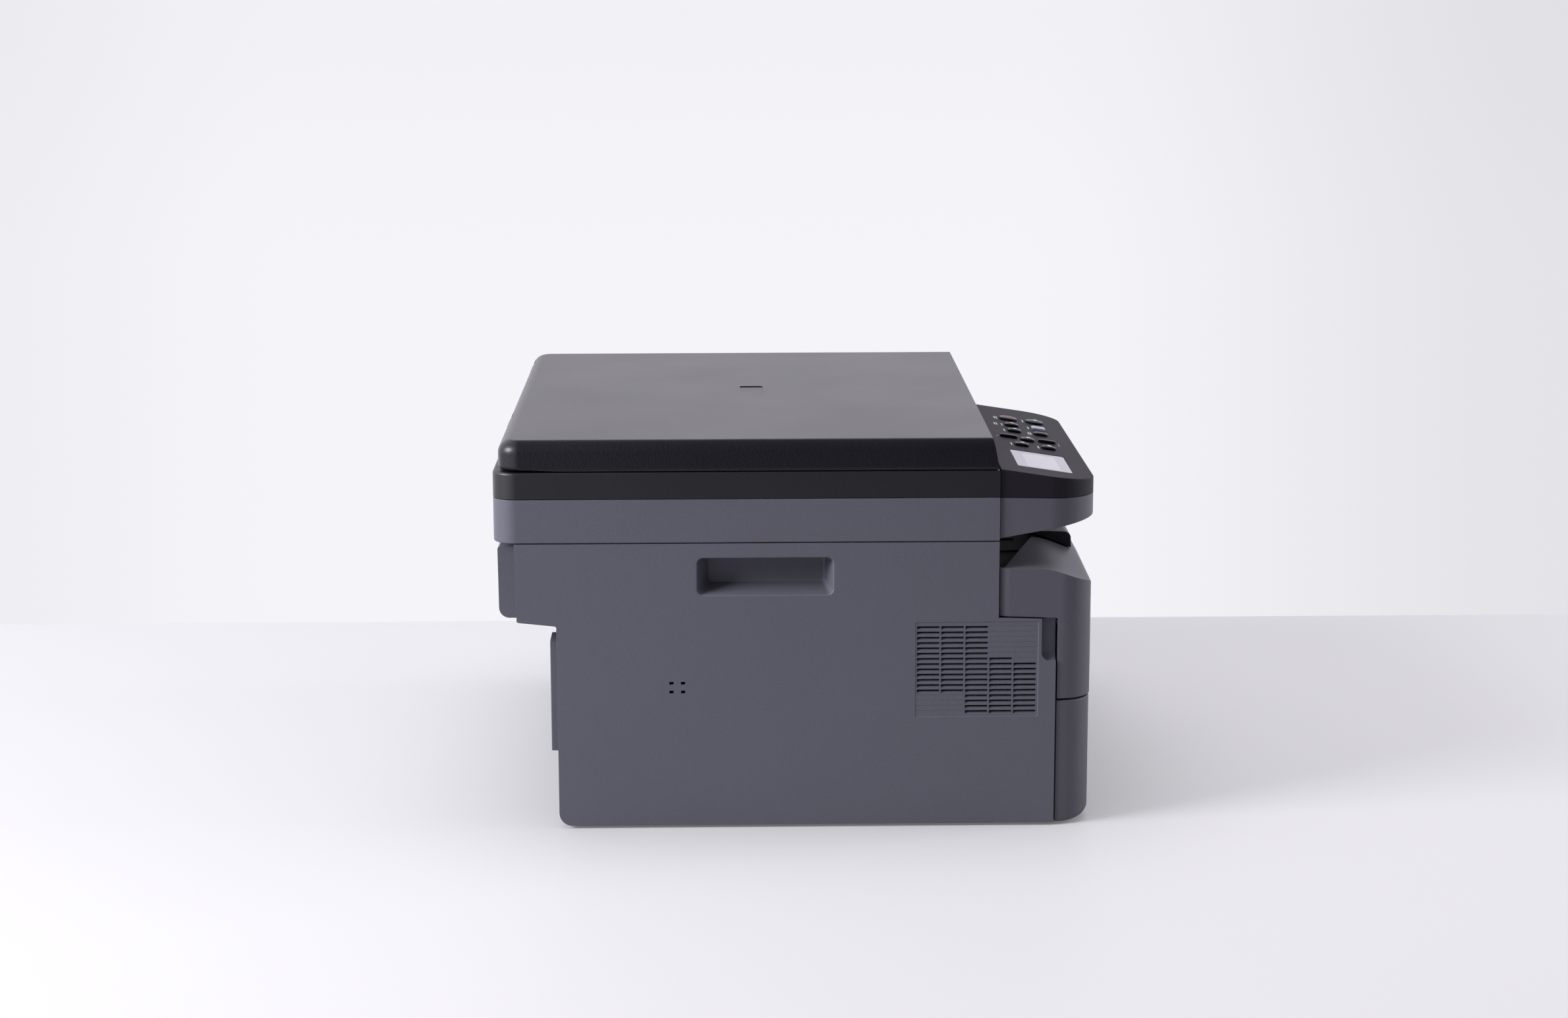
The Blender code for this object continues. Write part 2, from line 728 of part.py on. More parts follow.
def scan_carriage():
    """Lamp and lens bar on its guide rod."""
    home = CARRIAGE_HOME
    bar = box("scan_carriage", (home - 0.0110, home + 0.0110), (-0.0960, 0.1200),
              (0.2120, 0.2352))
    soften(bar, 0.0015, 1)
    saddle = box("carriage_saddle", (home - 0.0100, home + 0.0100),
                 (ROD_Y - 0.0080, ROD_Y + 0.0080), (0.1992, 0.2140))
    fuse(bar, saddle)
    cut(bar, rod("carriage_bore", 0.0044, (home - 0.02, ROD_Y, ROD_Z), 0.04))
    window = box("carriage_window", (home - 0.0040, home + 0.0040), (-0.0900, 0.1140),
                 (0.2320, 0.24))
    cut(bar, window)
    dress(bar, "inner black")
    ride(bar, pivot("scan_carriage_axis", (home, ROD_Y, ROD_Z)))
    dress(rod("scan_guide_rod", 0.0040, (-0.2020, ROD_Y, ROD_Z), 0.4040), "steel")


# Lid


def lid():
    """Hollow moulded lid with soft sides, two hinge places and a pad in its underside."""
    corners = [(-LID_HALF, LID_FRONT, 0.0), (LID_HALF, LID_FRONT, 0.0),
               (LID_HALF, LID_REAR, 0.0140), (-LID_HALF, LID_REAR, 0.0140)]
    cover = plate("lid", [rounded(corners, 4)], "XY", LID_BOTTOM, LID_TOP)
    for vert in cover.data.vertices:
        if vert.co.y < LID_FRONT + 0.001 and vert.co.z > LID_TOP - 0.0001:
            vert.co.y += LID_LEAN

    def weigh(a, b):
        front = max(a.y, b.y) < LID_FRONT + LID_LEAN + 0.0005
        rear = min(a.y, b.y) > LID_REAR - 0.0150
        if min(a.z, b.z) > LID_TOP - 0.0001:
            return 0.07 if front else 1.0
        if max(a.z, b.z) > LID_BOTTOM + 0.0001:
            return 0.0
        return 0.28 if rear else 0.07

    round_edges(cover, 0.0090, 4, weigh)
    wall = 0.0030
    inner = rounded(inset(corners, wall + LID_LEAN), 4)
    cut(cover,
        plate("lid_hollow", [inner], "XY", LID_PANEL + 0.0020, LID_TOP - wall),
        plate("lid_pad_recess", [inner], "XY", 0.2, LID_PANEL))
    for x in HINGES.values():
        reach = HINGE_HALF + GAP
        cut(cover,
            box("lid_hinge_notch", (x - reach, x + reach), (LID_AXIS_Y - 0.0110, 0.21), (0.2, 0.2598)),
            rod("lid_pin_bore", 0.0018, (x - 0.0220, LID_AXIS_Y, LID_AXIS_Z), 0.0440, sides=12))
    recess = plate("lid_plate_recess", [rectangle((-0.0155, 0.0275), (0.0190, 0.0355), 0.0015, 2)],
                   "XY", LID_TOP - 0.0006, LID_TOP + 0.01)
    cut(cover, recess)
    dress(cover, "lid grey")
    axis = pivot("lid_axis", (0.0, LID_AXIS_Y, LID_AXIS_Z))
    ride(cover, axis)
    pad = plate("lid_pad", [rectangle((-0.1680, 0.1680), (-0.1120, 0.1370), 0.0060, 3)], "XY",
                LID_BOTTOM, LID_PANEL - 0.0003)
    soften(pad, 0.0008, 1)
    dress(ride(pad, axis), "white sheet")


def lid_hinges():
    """Two hinge knuckles on the scanner's rear rim, each with its pin."""
    corners = [(LID_AXIS_Y - 0.0052, RIM_TOP + GAP, 0.0), (LID_AXIS_Y + 0.0040, RIM_TOP + GAP, 0.0),
               (LID_AXIS_Y + 0.0040, 0.2566, 0.0036), (LID_AXIS_Y - 0.0052, 0.2566, 0.0050)]
    for name, x in HINGES.items():
        block = plate(name, [rounded(corners, 4)], "YZ", x - HINGE_HALF, x + HINGE_HALF)
        fuse(block, rod("lid_pin", 0.0014, (x - 0.0180, LID_AXIS_Y, LID_AXIS_Z), 0.0360, sides=12))
        dress(block, "inner black")


# Control panel


def panel_corners():
    return [(PANEL_LEFT, PANEL_REAR, 0.0), (PANEL_LEFT, PANEL_FRONT, PANEL_LEFT_CORNER),
            (PANEL_RIGHT, PANEL_FRONT, PANEL_RIGHT_CORNER), (PANEL_RIGHT, PANEL_REAR, 0.0)]


def panel_plan(name, margin=0.0):
    corners = inset(panel_corners(), margin) if margin else panel_corners()
    return plate(name, [rounded(corners, 8)], "XY", 0.15, 0.30)


def on_panel(obj):
    """Tilt a piece drawn flat, x along X and y back from the slope's top, onto the panel."""
    obj.location = (0.0, PANEL_REAR, PANEL_REAR_TOP)
    obj.rotation_euler = (PANEL_TILT, 0.0, 0.0)
    return obj


def panel_field(x, down, width, height, corner, steps=3):
    return rectangle((x - width / 2, x + width / 2), (-down - height / 2, -down + height / 2),
                     corner, steps)


def panel_section(name, drop, margin):
    """Wedge between the panel's foot and its sloping top, lowered by a skin thickness."""
    rear = PANEL_REAR + 0.02
    front = PANEL_FRONT - 0.02
    slope = math.tan(PANEL_TILT)
    points = [(rear, RIM_BOTTOM - margin), (rear, PANEL_REAR_TOP + 0.02 * slope - drop),
              (front, PANEL_REAR_TOP - (PANEL_REAR - front) * slope - drop),
              (front, RIM_BOTTOM - margin)]
    return plate(name, [points], "YZ", PANEL_LEFT - 0.01, PANEL_RIGHT + 0.01)


def control_panel():
    panel = panel_plan("control_panel")
    keep_inside(panel, panel_section("panel_wedge", 0.0, 0.0))
    hollow = panel_plan("panel_hollow", PANEL_SKIN)
    keep_inside(hollow, panel_section("panel_hollow_wedge", PANEL_SKIN, 0.02))
    cut(panel, hollow)
    clearance = 2 * 0.0003
    loops = [panel_field(x, down, width + clearance, height + clearance, corner + 0.0003)
             for x, down, width, height, corner in KEYS.values()]
    x, down, width, height = DISPLAY
    loops.append(panel_field(x, down, width + clearance, height + clearance, 0.0023))
    holes = plate("panel_holes", loops, "XY", -0.0040, 0.0040)
    cut(panel, on_panel(holes))
    dress(panel, "panel grey")
    window = plate("display_window", [panel_field(x, down, width, height, 0.0020)], "XY",
                   -0.0020, -0.0002)
    dress(on_panel(window), "display")


def panel_board():
    """Circuit board under the keys, with the display module on it."""
    low = BOARD_TOP - BOARD_THICK
    board = plate("panel_board", [rectangle((-0.1840, 0.0400), (-0.0560, -0.0100), 0.002, 1)],
                  "XY", low, BOARD_TOP)
    x, down, width, height = DISPLAY
    module = plate("display_module", [panel_field(x, down, width - 0.004, height - 0.004, 0.001)],
                   "XY", BOARD_TOP - 0.0005, -0.0024)
    on_panel(board)
    fuse(board, on_panel(module))
    dress(board, "board green")


def panel_keys():
    finishes = {"stop_key": "stop red", "start_key": "start green", "wireless_key": "lit key"}
    tilt = Matrix.Rotation(PANEL_TILT, 4, "X")
    for name, (x, down, width, height, corner) in KEYS.items():
        key = plate(name, [panel_field(0.0, 0.0, width, height, corner)], "XY",
                    -KEY_DEEP, KEY_PROUD)

        def weigh(a, b):
            return 1.0 if min(a.z, b.z) > KEY_PROUD - 0.00001 else 0.0

        round_edges(key, 0.0006, 2, weigh)
        key.location = Vector((0.0, PANEL_REAR, PANEL_REAR_TOP)) + tilt @ Vector((x, -down, 0.0))
        key.rotation_euler = (PANEL_TILT, 0.0, 0.0)
        dress(key, finishes.get(name, "key black"))


def panel_lower_cover():
    """Curved grey underside of the overhang, with posts for the board."""
    low = 0.1968
    corners = [(PANEL_REAR + 0.02, low - 0.0036, 0.0), (-0.1985, 0.2080, 0.0080),
               (PANEL_FRONT - 0.0002, HOUSING_TOP, 0.0), (PANEL_REAR + 0.02, HOUSING_TOP, 0.0)]
    reach = (PANEL_LEFT - 0.01, PANEL_RIGHT + 0.01)
    cover = panel_plan("panel_lower_cover")
    keep_inside(cover, plate("underside_section", [rounded(corners, 5)], "YZ", *reach))
    hollow = panel_plan("underside_hollow", WALL)
    inner = [(u, v + (WALL if v < 0.22 else 0.02), r) for u, v, r in corners]
    keep_inside(hollow, plate("underside_hollow_section", [rounded(inner, 5)], "YZ", *reach))
    cut(cover, hollow)
    for index, (x, y, top) in enumerate(((-0.1700, -0.1500, 0.2332), (-0.1700, -0.1850, 0.2278),
                                         (0.0300, -0.1500, 0.2332), (0.0300, -0.1850, 0.2278))):
        foot = 0.1990 + (PANEL_REAR - y) * 0.18
        fuse(cover, rod("board_post_" + str(index), 0.0025, (x, y, foot), top - foot - 0.0020,
                        "Z", 10))
    dress(cover, "body grey")


# Front cover


def shoulder(crown):
    """Outline of the front cover in (y, z): face, sloping shoulder and plateau."""
    return [
        (COVER_REAR, COVER_BOTTOM), (COVER_FRONT + 0.0004, COVER_BOTTOM),
        (COVER_FRONT, 0.1616 + crown), (COVER_FRONT + 0.0006, 0.1632 + crown),
        (-0.1954, 0.1650 + crown), (-0.1912, 0.1670 + crown), (-0.1840, 0.1700 + crown),
        (-0.1770, 0.1729 + crown), (-0.1700, 0.1752 + crown), (-0.1636, 0.1761 + crown),
        (COVER_REAR, 0.1762 + crown),
    ]


def shoulder_loft(name, drop, spread):
    """The cover's body: flat crown in the middle that falls towards both sides."""
    stations = ((-spread, 0.0), (-FLAP_HALF, COVER_CROWN), (FLAP_HALF, COVER_CROWN),
                (spread, 0.0))
    sections = []
    for x, crown in stations:
        sections.append([(x, y, z - (drop if z > 0.12 else 0.0)) for y, z in shoulder(crown)])
    return loft(name, sections)


def front_cover():
    """Wrap-round front cover with its shoulder, open at the rear, and the manual slot."""
    cover = shoulder_loft("front_cover", 0.0, COVER_HALF + 0.001)
    corners = [(-COVER_HALF, -0.1200, 0.0), (-COVER_HALF, COVER_FRONT, COVER_CORNER),
               (COVER_HALF, COVER_FRONT, COVER_CORNER), (COVER_HALF, -0.1200, 0.0)]
    keep_inside(cover, plate("cover_plan", [rounded(corners, 7)], "XY", 0.05, 0.25))
    wall = 0.0030
    hollow = shoulder_loft("cover_hollow", wall, COVER_HALF - wall)
    inner = [(-COVER_HALF + wall, -0.1100, 0.0),
             (-COVER_HALF + wall, COVER_FRONT + wall, COVER_CORNER - wall),
             (COVER_HALF - wall, COVER_FRONT + wall, COVER_CORNER - wall),
             (COVER_HALF - wall, -0.1100, 0.0)]
    keep_inside(hollow, plate("cover_hollow_plan", [rounded(inner, 7)], "XY", 0.0904, 0.25))
    mouth = [(-0.2005, -0.1384), (-0.1060, -0.1664), (0.1060, -0.1664), (0.2005, -0.1384),
             (0.2005, -0.1100), (-0.2005, -0.1100)]
    cut(cover,
        hollow,
        box("cover_step", (-0.21, 0.21), (COVER_SEAM, -0.10), (0.05, COVER_STEP)),
        box("cover_back", (-0.2005, 0.2005), (-0.1500, -0.10), (0.05, 0.1735)),
        plate("cover_mouth", [mouth], "XY", 0.1500, 0.2000),
        box("manual_slot", (-SLOT_HALF - GAP, SLOT_HALF + GAP), (-0.2100, -0.1900),
            (SLOT_LOW, SLOT_HIGH)))
    dress(cover, "front grey")
    axis = pivot("front_cover_axis", (0.0, COVER_AXIS_Y, COVER_AXIS_Z))
    ride(cover, axis)
    manual = box("manual_feed_cover", (-SLOT_HALF, SLOT_HALF), (-0.1976, -0.1952),
                 (SLOT_LOW + 0.0010, SLOT_HIGH - 0.0006))
    fuse(manual, soften(box("manual_grip", (-0.0200, 0.0200), (-0.1956, -0.1930),
                            (0.1120, 0.1150)), 0.0005, 1))
    dress(ride(manual, pivot("manual_feed_axis", (0.0, SLOT_AXIS_Y, SLOT_AXIS_Z), axis)),
          "front grey")
    support_flap(axis)


def support_flap(parent):
    """Black flap on the shoulder: flat top, upright front edge, thin rear edge."""
    front = -0.1926
    lift = COVER_CROWN + 0.0006
    corners = [
        (front, 0.1664 + lift, 0.0), (front + 0.0004, 0.1816, 0.0045), (-0.1690, 0.1822, 0.0006),
        (-0.1672, 0.1816, 0.0), (-0.1672, 0.1756 + lift + 0.0004, 0.0), (-0.1700, 0.1752 + lift, 0.0),
        (-0.1770, 0.1729 + lift, 0.0), (-0.1840, 0.1700 + lift, 0.0),
    ]
    flap = plate("paper_support_flap", [rounded(corners, 5)], "YZ", -FLAP_HALF, FLAP_HALF)
    dress(flap, "key black")
    ride(flap, pivot("support_flap_axis", (0.0, FLAP_AXIS_Y, FLAP_AXIS_Z), parent))


# Paper cassette


def cassette():
    axis = pivot("cassette_axis", (0.0, CASSETTE_SEAM, CASSETTE_BOTTOM))
    corners = [(-COVER_HALF, CASSETTE_SEAM, 0.0), (-COVER_HALF, CASSETTE_FRONT, 0.0215),
               (COVER_HALF, CASSETTE_FRONT, 0.0215), (COVER_HALF, CASSETTE_SEAM, 0.0)]
    face = plate("cassette_front", [rounded(corners, 7)], "XY", CASSETTE_BOTTOM, CASSETTE_TOP)

    def weigh(a, b):
        outside = min(a.y, b.y) < CASSETTE_SEAM - 0.0001
        level = abs(a.z - b.z) < 0.0001
        if not (outside and level):
            return 0.0
        if min(a.z, b.z) > CASSETTE_BOTTOM + 0.0001:
            return 0.08
        facing_front = abs(a.x - b.x) / (a - b).length
        return 0.08 + 0.92 * facing_front ** 2

    round_edges(face, 0.0090, 4, weigh)
    cut(face, box("cassette_hollow", (-0.1790, 0.1790), (-0.1943, -0.1600), (0.0120, 0.0835)))
    block = box("grip_block", (-0.0560, 0.0560), (-0.1946, -0.1790), (0.0340, 0.0660))
    fuse(face, block)
    grip = plate("grip_pocket", [rounded([(-0.2100, 0.0400, 0.0), (-0.1850, 0.0440, 0.003),
                                          (-0.1820, 0.0630, 0.003), (-0.1900, 0.0630, 0.0),
                                          (-0.1930, 0.0600, 0.0), (-0.2100, 0.0590, 0.0)], 3)],
                 "YZ", -0.0500, 0.0500)
    cut(face, grip)
    dress(ride(face, axis), "front grey")
    cassette_tray(axis)


def cassette_tray(axis):
    tray = box("cassette_tray", (-TRAY_HALF, TRAY_HALF), (CASSETTE_SEAM + GAP, TRAY_REAR),
               (0.0054, TRAY_TOP))
    wall = 0.0030
    cut(tray,
        box("tray_inside", (-TRAY_HALF + wall, TRAY_HALF - wall), (-0.1706, TRAY_REAR - wall),
            (TRAY_FLOOR, 0.1)),
        box("tray_lip", (-0.0700, 0.0700), (-0.1800, -0.1600), (0.0640, 0.1)))
    dress(ride(tray, axis), "inner black")
    hinge_y = 0.0200
    lift = box("lift_plate", (-0.1060, 0.1060), (-0.1640, hinge_y + 0.0010), (0.0086, 0.0100))
    fuse(lift, rod("lift_plate_pin", 0.0012, (-0.1100, hinge_y, 0.0098), 0.2200, sides=10))
    dress(ride(lift, pivot("lift_plate_axis", (0.0, hinge_y, 0.0098), axis)), "steel")
    for name, side in (("left_width_guide", -1), ("right_width_guide", 1)):
        x = sorted((side * 0.1064, side * 0.1086))
        guide = box(name, x, (0.0260, 0.1000), (0.0084, 0.0560))
        foot = box(name + "_foot", sorted((side * 0.1070, side * 0.1240)), (0.0400, 0.0860),
                   (0.0084, 0.0104))
        fuse(guide, foot)
        dress(ride(guide, pivot(name + "_axis", (side * 0.1064, 0.0630, 0.0084), axis)),
              "inner black")
    back = box("length_guide", (-0.0250, 0.0250), (0.1290, 0.1314), (0.0084, 0.0560))
    fuse(back, box("length_guide_foot", (-0.0220, 0.0220), (0.1080, 0.1300), (0.0084, 0.0104)))
    dress(ride(back, pivot("length_guide_axis", (0.0, 0.1290, 0.0084), axis)), "inner black")


# Engine


def roller(name, centre, radius, length, shaft_radius, shaft_half, finish, sides=20):
    stations = [(-shaft_half, shaft_radius), (-length, radius), (length, shaft_radius),
                (shaft_half, 0.0)]
    return dress(turned(name, stepped_shaft(stations), centre, sides), finish)


def toner_and_drum():
    """Toner cartridge and drum unit, which lift out together to the front."""
    corners = [(-0.1180, 0.1130, 0.0050), (-0.0920, 0.1090, 0.0040), (-0.0620, 0.0950, 0.0040),
               (-0.0480, 0.1060, 0.0040), (-0.0500, 0.1400, 0.0060), (-0.1120, 0.1460, 0.0060)]
    toner = plate("toner_cartridge", [rounded(corners, 3)], "YZ", -0.1500, 0.1500)
    fuse(toner, soften(box("toner_grip", (-0.0350, 0.0350), (-0.1240, -0.1100),
                           (0.1240, 0.1320)), 0.0020, 2))
    dress(toner, "inner black")
    corners = [(-0.0460, 0.1150, 0.0020), (0.0240, 0.1150, 0.0040), (0.0240, 0.1450, 0.0080),
               (-0.0460, 0.1450, 0.0020)]
    unit = plate("drum_unit", [rounded(corners, 3)], "YZ", -0.1620, 0.1620)
    y, z = DRUM
    cut(unit, rod("drum_space", DRUM_RADIUS + 0.0006, (-0.1508, y, z), 0.3016, sides=24),
        rod("drum_bore", 0.0034, (-0.17, y, z), 0.34, sides=12))
    feet = [(sorted((side * 0.1540, side * 0.1616)), (0.0100, 0.0200), (DECK_HIGH + GAP, 0.1200))
            for side in (-1, 1)]
    for index, ranges in enumerate(feet):
        fuse(unit, box("drum_unit_foot_" + str(index), *ranges))
    dress(unit, "inner black")
    roller("photo_drum", DRUM, DRUM_RADIUS, 0.1500, 0.0030, 0.1640, "drum green", 24)
    roller("transfer_roller", TRANSFER, TRANSFER_RADIUS, 0.1490, 0.0025, 0.1814, "rubber", 16)


def laser_unit():
    unit = box("laser_unit", (-0.1814, 0.1814), (0.0300, 0.0760), (0.1180, 0.1500))
    soften(unit, 0.0020, 1)
    slot = box("laser_slot", (-0.1100, 0.1100), (0.0200, 0.0340), (0.1240, 0.1290))
    cut(unit, slot)
    dress(unit, "inner black")


def fuser():
    """Fuser frame with its two rollers in end bearings."""
    frame = box("fuser_frame", (-0.1814, 0.1814), (0.0850, 0.1390), (DECK_HIGH + GAP, 0.1480))
    soften(frame, 0.0015, 1)
    cut(frame, box("fuser_channel", (-0.1500, 0.1500), (0.05, 0.17), (0.0940, 0.1440)))
    for name, (y, z) in (("heat_bore", HEAT), ("pressure_bore", PRESSURE)):
        cut(frame, rod(name, 0.0044, (-0.1560, y, z), 0.3120, sides=16))
    dress(frame, "inner black")
    roller("heat_roller", HEAT, HEAT_RADIUS, 0.1480, 0.0040, 0.1550, "roller orange", 20)
    roller("pressure_roller", PRESSURE, PRESSURE_RADIUS, 0.1480, 0.0040, 0.1550, "rubber", 20)


def feed_rollers():
    roller("pickup_roller", PICKUP, PICKUP_RADIUS, 0.0200, 0.0030, 0.1814, "rubber", 20)
    stations = [(-0.1830, 0.0025)]
    for x in (-0.0950, -0.0350, 0.0350, 0.0950):
        stations += [(x - 0.0080, EXIT_RADIUS), (x + 0.0080, 0.0025)]
    stations.append((0.1830, 0.0))
    dress(turned("exit_rollers", stepped_shaft(stations), EXIT, 14), "rubber")


def gear_outline(centre, teeth, phase):
    """Straight-flanked teeth with wide backlash, four points a tooth."""
    pitch = teeth * MODULE / 2
    outline = []
    for tooth in range(teeth):
        for share, radius in ((-0.30, pitch - 1.15 * MODULE), (-0.13, pitch + 0.70 * MODULE),
                              (0.13, pitch + 0.70 * MODULE), (0.30, pitch - 1.15 * MODULE)):
            angle = (tooth + share + phase) * 2 * math.pi / teeth
            outline.append((centre[0] + radius * math.cos(angle),
                            centre[1] + radius * math.sin(angle)))
    return outline


def circle(centre, radius, steps):
    return [(centre[0] + radius * math.cos(2 * math.pi * i / steps),
             centre[1] + radius * math.sin(2 * math.pi * i / steps)) for i in range(steps)]


def drive():
    """Motor with its pinion and the main drive gear on the right side frame."""
    inner = BETWEEN_SIDES + GAP
    loops = [gear_outline(GEAR, GEAR_TEETH, 0.5), circle(GEAR, 0.0036, 12)]
    for index in range(4):
        angle = math.radians(45 + 90 * index)
        hole = (GEAR[0] + 0.016 * math.cos(angle), GEAR[1] + 0.016 * math.sin(angle))
        loops.append(circle(hole, 0.0060, 10))
    gear = plate("drive_gear", loops, "YZ", inner, inner + 0.0050)
    dress(ride(gear, pivot("drive_gear_axis", (inner, *GEAR))), "gear white")
    pinion = plate("motor_pinion", [gear_outline(PINION, PINION_TEETH, 0.0)], "YZ",
                   inner, inner + 0.0050)
    dress(ride(pinion, pivot("motor_pinion_axis", (inner, *PINION))), "gear white")
    motor = rod("main_motor", 0.0210, (inner + 0.0056, *PINION), 0.0090, sides=28)
    soften(motor, 0.0012, 1)
    dress(motor, "steel")


def boards():
    """Main board on the left side frame, power supply on the right one."""
    edge = BETWEEN_SIDES + GAP
    board = box("main_board", (-edge - 0.0016, -edge), (-0.0600, 0.1200), (0.0250, 0.1250))
    parts = [((-edge - 0.0060, -edge - 0.0012), (-0.0200, 0.0100), (0.0600, 0.0900)),
             ((-edge - 0.0110, -edge - 0.0012), (0.0600, 0.0900), (0.0350, 0.0450)),
             ((-edge - 0.0080, -edge - 0.0012), (-0.0500, -0.0350), (0.0400, 0.1000))]
    for index, ranges in enumerate(parts):
        fuse(board, box("main_board_part_" + str(index), *ranges))
    dress(board, "board green")
    supply = box("power_supply", (edge, edge + 0.0016), (-0.1250, -0.0320), (0.0200, 0.1250))
    parts = [((edge + 0.0012, edge + 0.0140), (-0.1150, -0.0850), (0.0300, 0.0600)),
             ((edge + 0.0012, edge + 0.0120), (-0.0700, -0.0450), (0.0350, 0.0900)),
             ((edge + 0.0012, edge + 0.0100), (-0.1150, -0.0900), (0.0800, 0.1150))]
    for index, ranges in enumerate(parts):
        fuse(supply, box("power_supply_part_" + str(index), *ranges))
    dress(supply, "board green")


def sockets():
    """Mains inlet with three blades and the data port, both in the rear panel."""
    x = 0.1505
    outline = rounded([(x - 0.0135, 0.0180, 0.001), (x + 0.0135, 0.0180, 0.001),
                       (x + 0.0135, 0.0400, 0.004), (x - 0.0135, 0.0400, 0.004)], 2)
    inlet = plate("power_inlet", [outline], "XZ", 0.1390, 0.1590)
    flange = plate("inlet_flange", [rectangle((x - 0.0160, x + 0.0160), (0.0155, 0.0425), 0.002, 2)],
                   "XZ", 0.1586, 0.1600)
    fuse(inlet, flange)
    outline = rounded([(x - 0.0112, 0.0206, 0.0008), (x + 0.0112, 0.0206, 0.0008),
                       (x + 0.0112, 0.0374, 0.004), (x - 0.0112, 0.0374, 0.004)], 2)
    cut(inlet, plate("inlet_cavity", [outline], "XZ", 0.1430, 0.1700))
    for index, (px, pz) in enumerate(((x - 0.0070, 0.0270), (x + 0.0070, 0.0270), (x, 0.0310))):
        fuse(inlet, box("inlet_blade_" + str(index), (px - 0.0010, px + 0.0010),
                        (0.1420, 0.1560), (pz - 0.0020, pz + 0.0020)))
    dress(inlet, "inner black")
    port = box("data_port", (-0.1560, -0.1440), (0.1400, 0.1588), (0.0200, 0.0310))
    cut(port, box("port_cavity", (-0.1548, -0.1452), (0.1440, 0.1700), (0.0212, 0.0298)))
    fuse(port, box("port_tongue", (-0.1528, -0.1472), (0.1430, 0.1560), (0.0242, 0.0268)))
    dress(port, "steel")


def fan():
    """Cooling fan behind the left grille."""
    y, z = FAN
    outer = -0.1990
    inner = -BETWEEN_SIDES - GAP
    frame = box("fan_frame", (outer, inner), (y - FAN_HALF, y + FAN_HALF),
                (z - FAN_HALF, z + FAN_HALF))
    soften(frame, 0.0020, 1)
    cut(frame, rod("fan_opening", 0.0284, (-0.2100, y, z), 0.0300, sides=28))
    fuse(frame, rod("fan_motor_plate", 0.0120, (inner - 0.0020, y, z), 0.0020, sides=20))
    for index in range(3):
        strut = box("fan_strut_" + str(index), (inner - 0.0020, inner), (-0.0020, 0.0020),
                    (0.0100, 0.0292))
        strut.rotation_euler = (math.radians(120 * index), 0.0, 0.0)
        strut.location = (0.0, y, z)
        fuse(frame, strut)
    dress(frame, "inner black")
    blades = rod("cooling_fan", 0.0110, (outer + 0.0016, y, z), 0.0080, sides=21)
    for index in range(7):
        blade = box("fan_blade_" + str(index), (-0.0034, 0.0034), (-0.0008, 0.0008),
                    (0.0090, 0.0268))
        turn = Matrix.Rotation(2 * math.pi * index / 7, 4, "X")
        twist = Matrix.Rotation(math.radians(38), 4, "Z")
        blade.data.transform(turn @ twist)
        blade.location = (outer + 0.0056, y, z)
        fuse(blades, blade)
    dress(ride(blades, pivot("fan_axis", (outer, y, z))), "inner black")


def main():
    side_covers()
    bottom_pan()
    engine_frame()
    rear_panel()
    rear_lower_cover()
    rear_cover()
    output_tray()
    scanner_housing()
    scanner_top_frame()
    scan_carriage()
    lid()
    lid_hinges()
    control_panel()
    panel_board()
    panel_keys()
    panel_lower_cover()
    front_cover()
    cassette()
    toner_and_drum()
    laser_unit()
    fuser()
    feed_rollers()
    drive()
    boards()
    sockets()
    fan()


main()
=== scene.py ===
"""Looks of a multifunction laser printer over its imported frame.

Metres, +X is the printer's right, -Y its front, +Z up. The left side faces the camera.
"""
import json
import math

import bmesh
import bpy
from mathutils import Matrix, Vector

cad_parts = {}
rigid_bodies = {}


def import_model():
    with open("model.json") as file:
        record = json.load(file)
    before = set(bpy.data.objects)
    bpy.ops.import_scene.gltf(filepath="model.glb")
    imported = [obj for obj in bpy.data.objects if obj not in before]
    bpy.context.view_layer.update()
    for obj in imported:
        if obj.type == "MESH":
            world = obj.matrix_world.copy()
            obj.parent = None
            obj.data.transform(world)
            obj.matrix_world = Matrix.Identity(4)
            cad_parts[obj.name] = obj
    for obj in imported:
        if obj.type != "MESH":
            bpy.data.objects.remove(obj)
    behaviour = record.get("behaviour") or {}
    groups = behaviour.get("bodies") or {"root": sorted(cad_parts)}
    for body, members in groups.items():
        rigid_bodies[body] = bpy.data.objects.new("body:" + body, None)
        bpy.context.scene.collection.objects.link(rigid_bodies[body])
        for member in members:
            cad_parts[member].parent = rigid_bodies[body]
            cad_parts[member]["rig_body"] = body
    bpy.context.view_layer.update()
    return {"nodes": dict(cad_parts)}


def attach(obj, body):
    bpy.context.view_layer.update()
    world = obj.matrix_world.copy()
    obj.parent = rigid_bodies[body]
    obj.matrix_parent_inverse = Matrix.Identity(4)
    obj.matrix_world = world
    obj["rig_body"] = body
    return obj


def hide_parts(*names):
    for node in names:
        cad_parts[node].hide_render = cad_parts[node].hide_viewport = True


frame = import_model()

# Sizes that the shells share with the frame
HALF_WIDTH = 0.2050
BODY_BOTTOM = 0.0019
BODY_TOP = 0.1945
BODY_FRONT = -0.1728
BODY_REAR = 0.1585
UPPER_FRONT = -0.1348
UPPER_REAR = 0.1856
STEP_LOW = 0.1390
STEP_HIGH = 0.1418
NOTCH_TOP = 0.1432
NOTCH_FRONT = 0.1419
WALL = 0.0026
GAP = 0.0004
SIDE_INNER = 0.1870
BETWEEN_SIDES = 0.1858

HOUSING_BOTTOM = 0.1950
HOUSING_TOP = 0.2242
RIM_BOTTOM = 0.2246
RIM_TOP = 0.2424
SCANNER_FRONT = -0.1346
SCANNER_REAR = 0.1996
SCANNER_CORNER = 0.0160
GLASS_HALF = 0.1545
GLASS_FRONT = -0.1025
GLASS_REAR = 0.1265

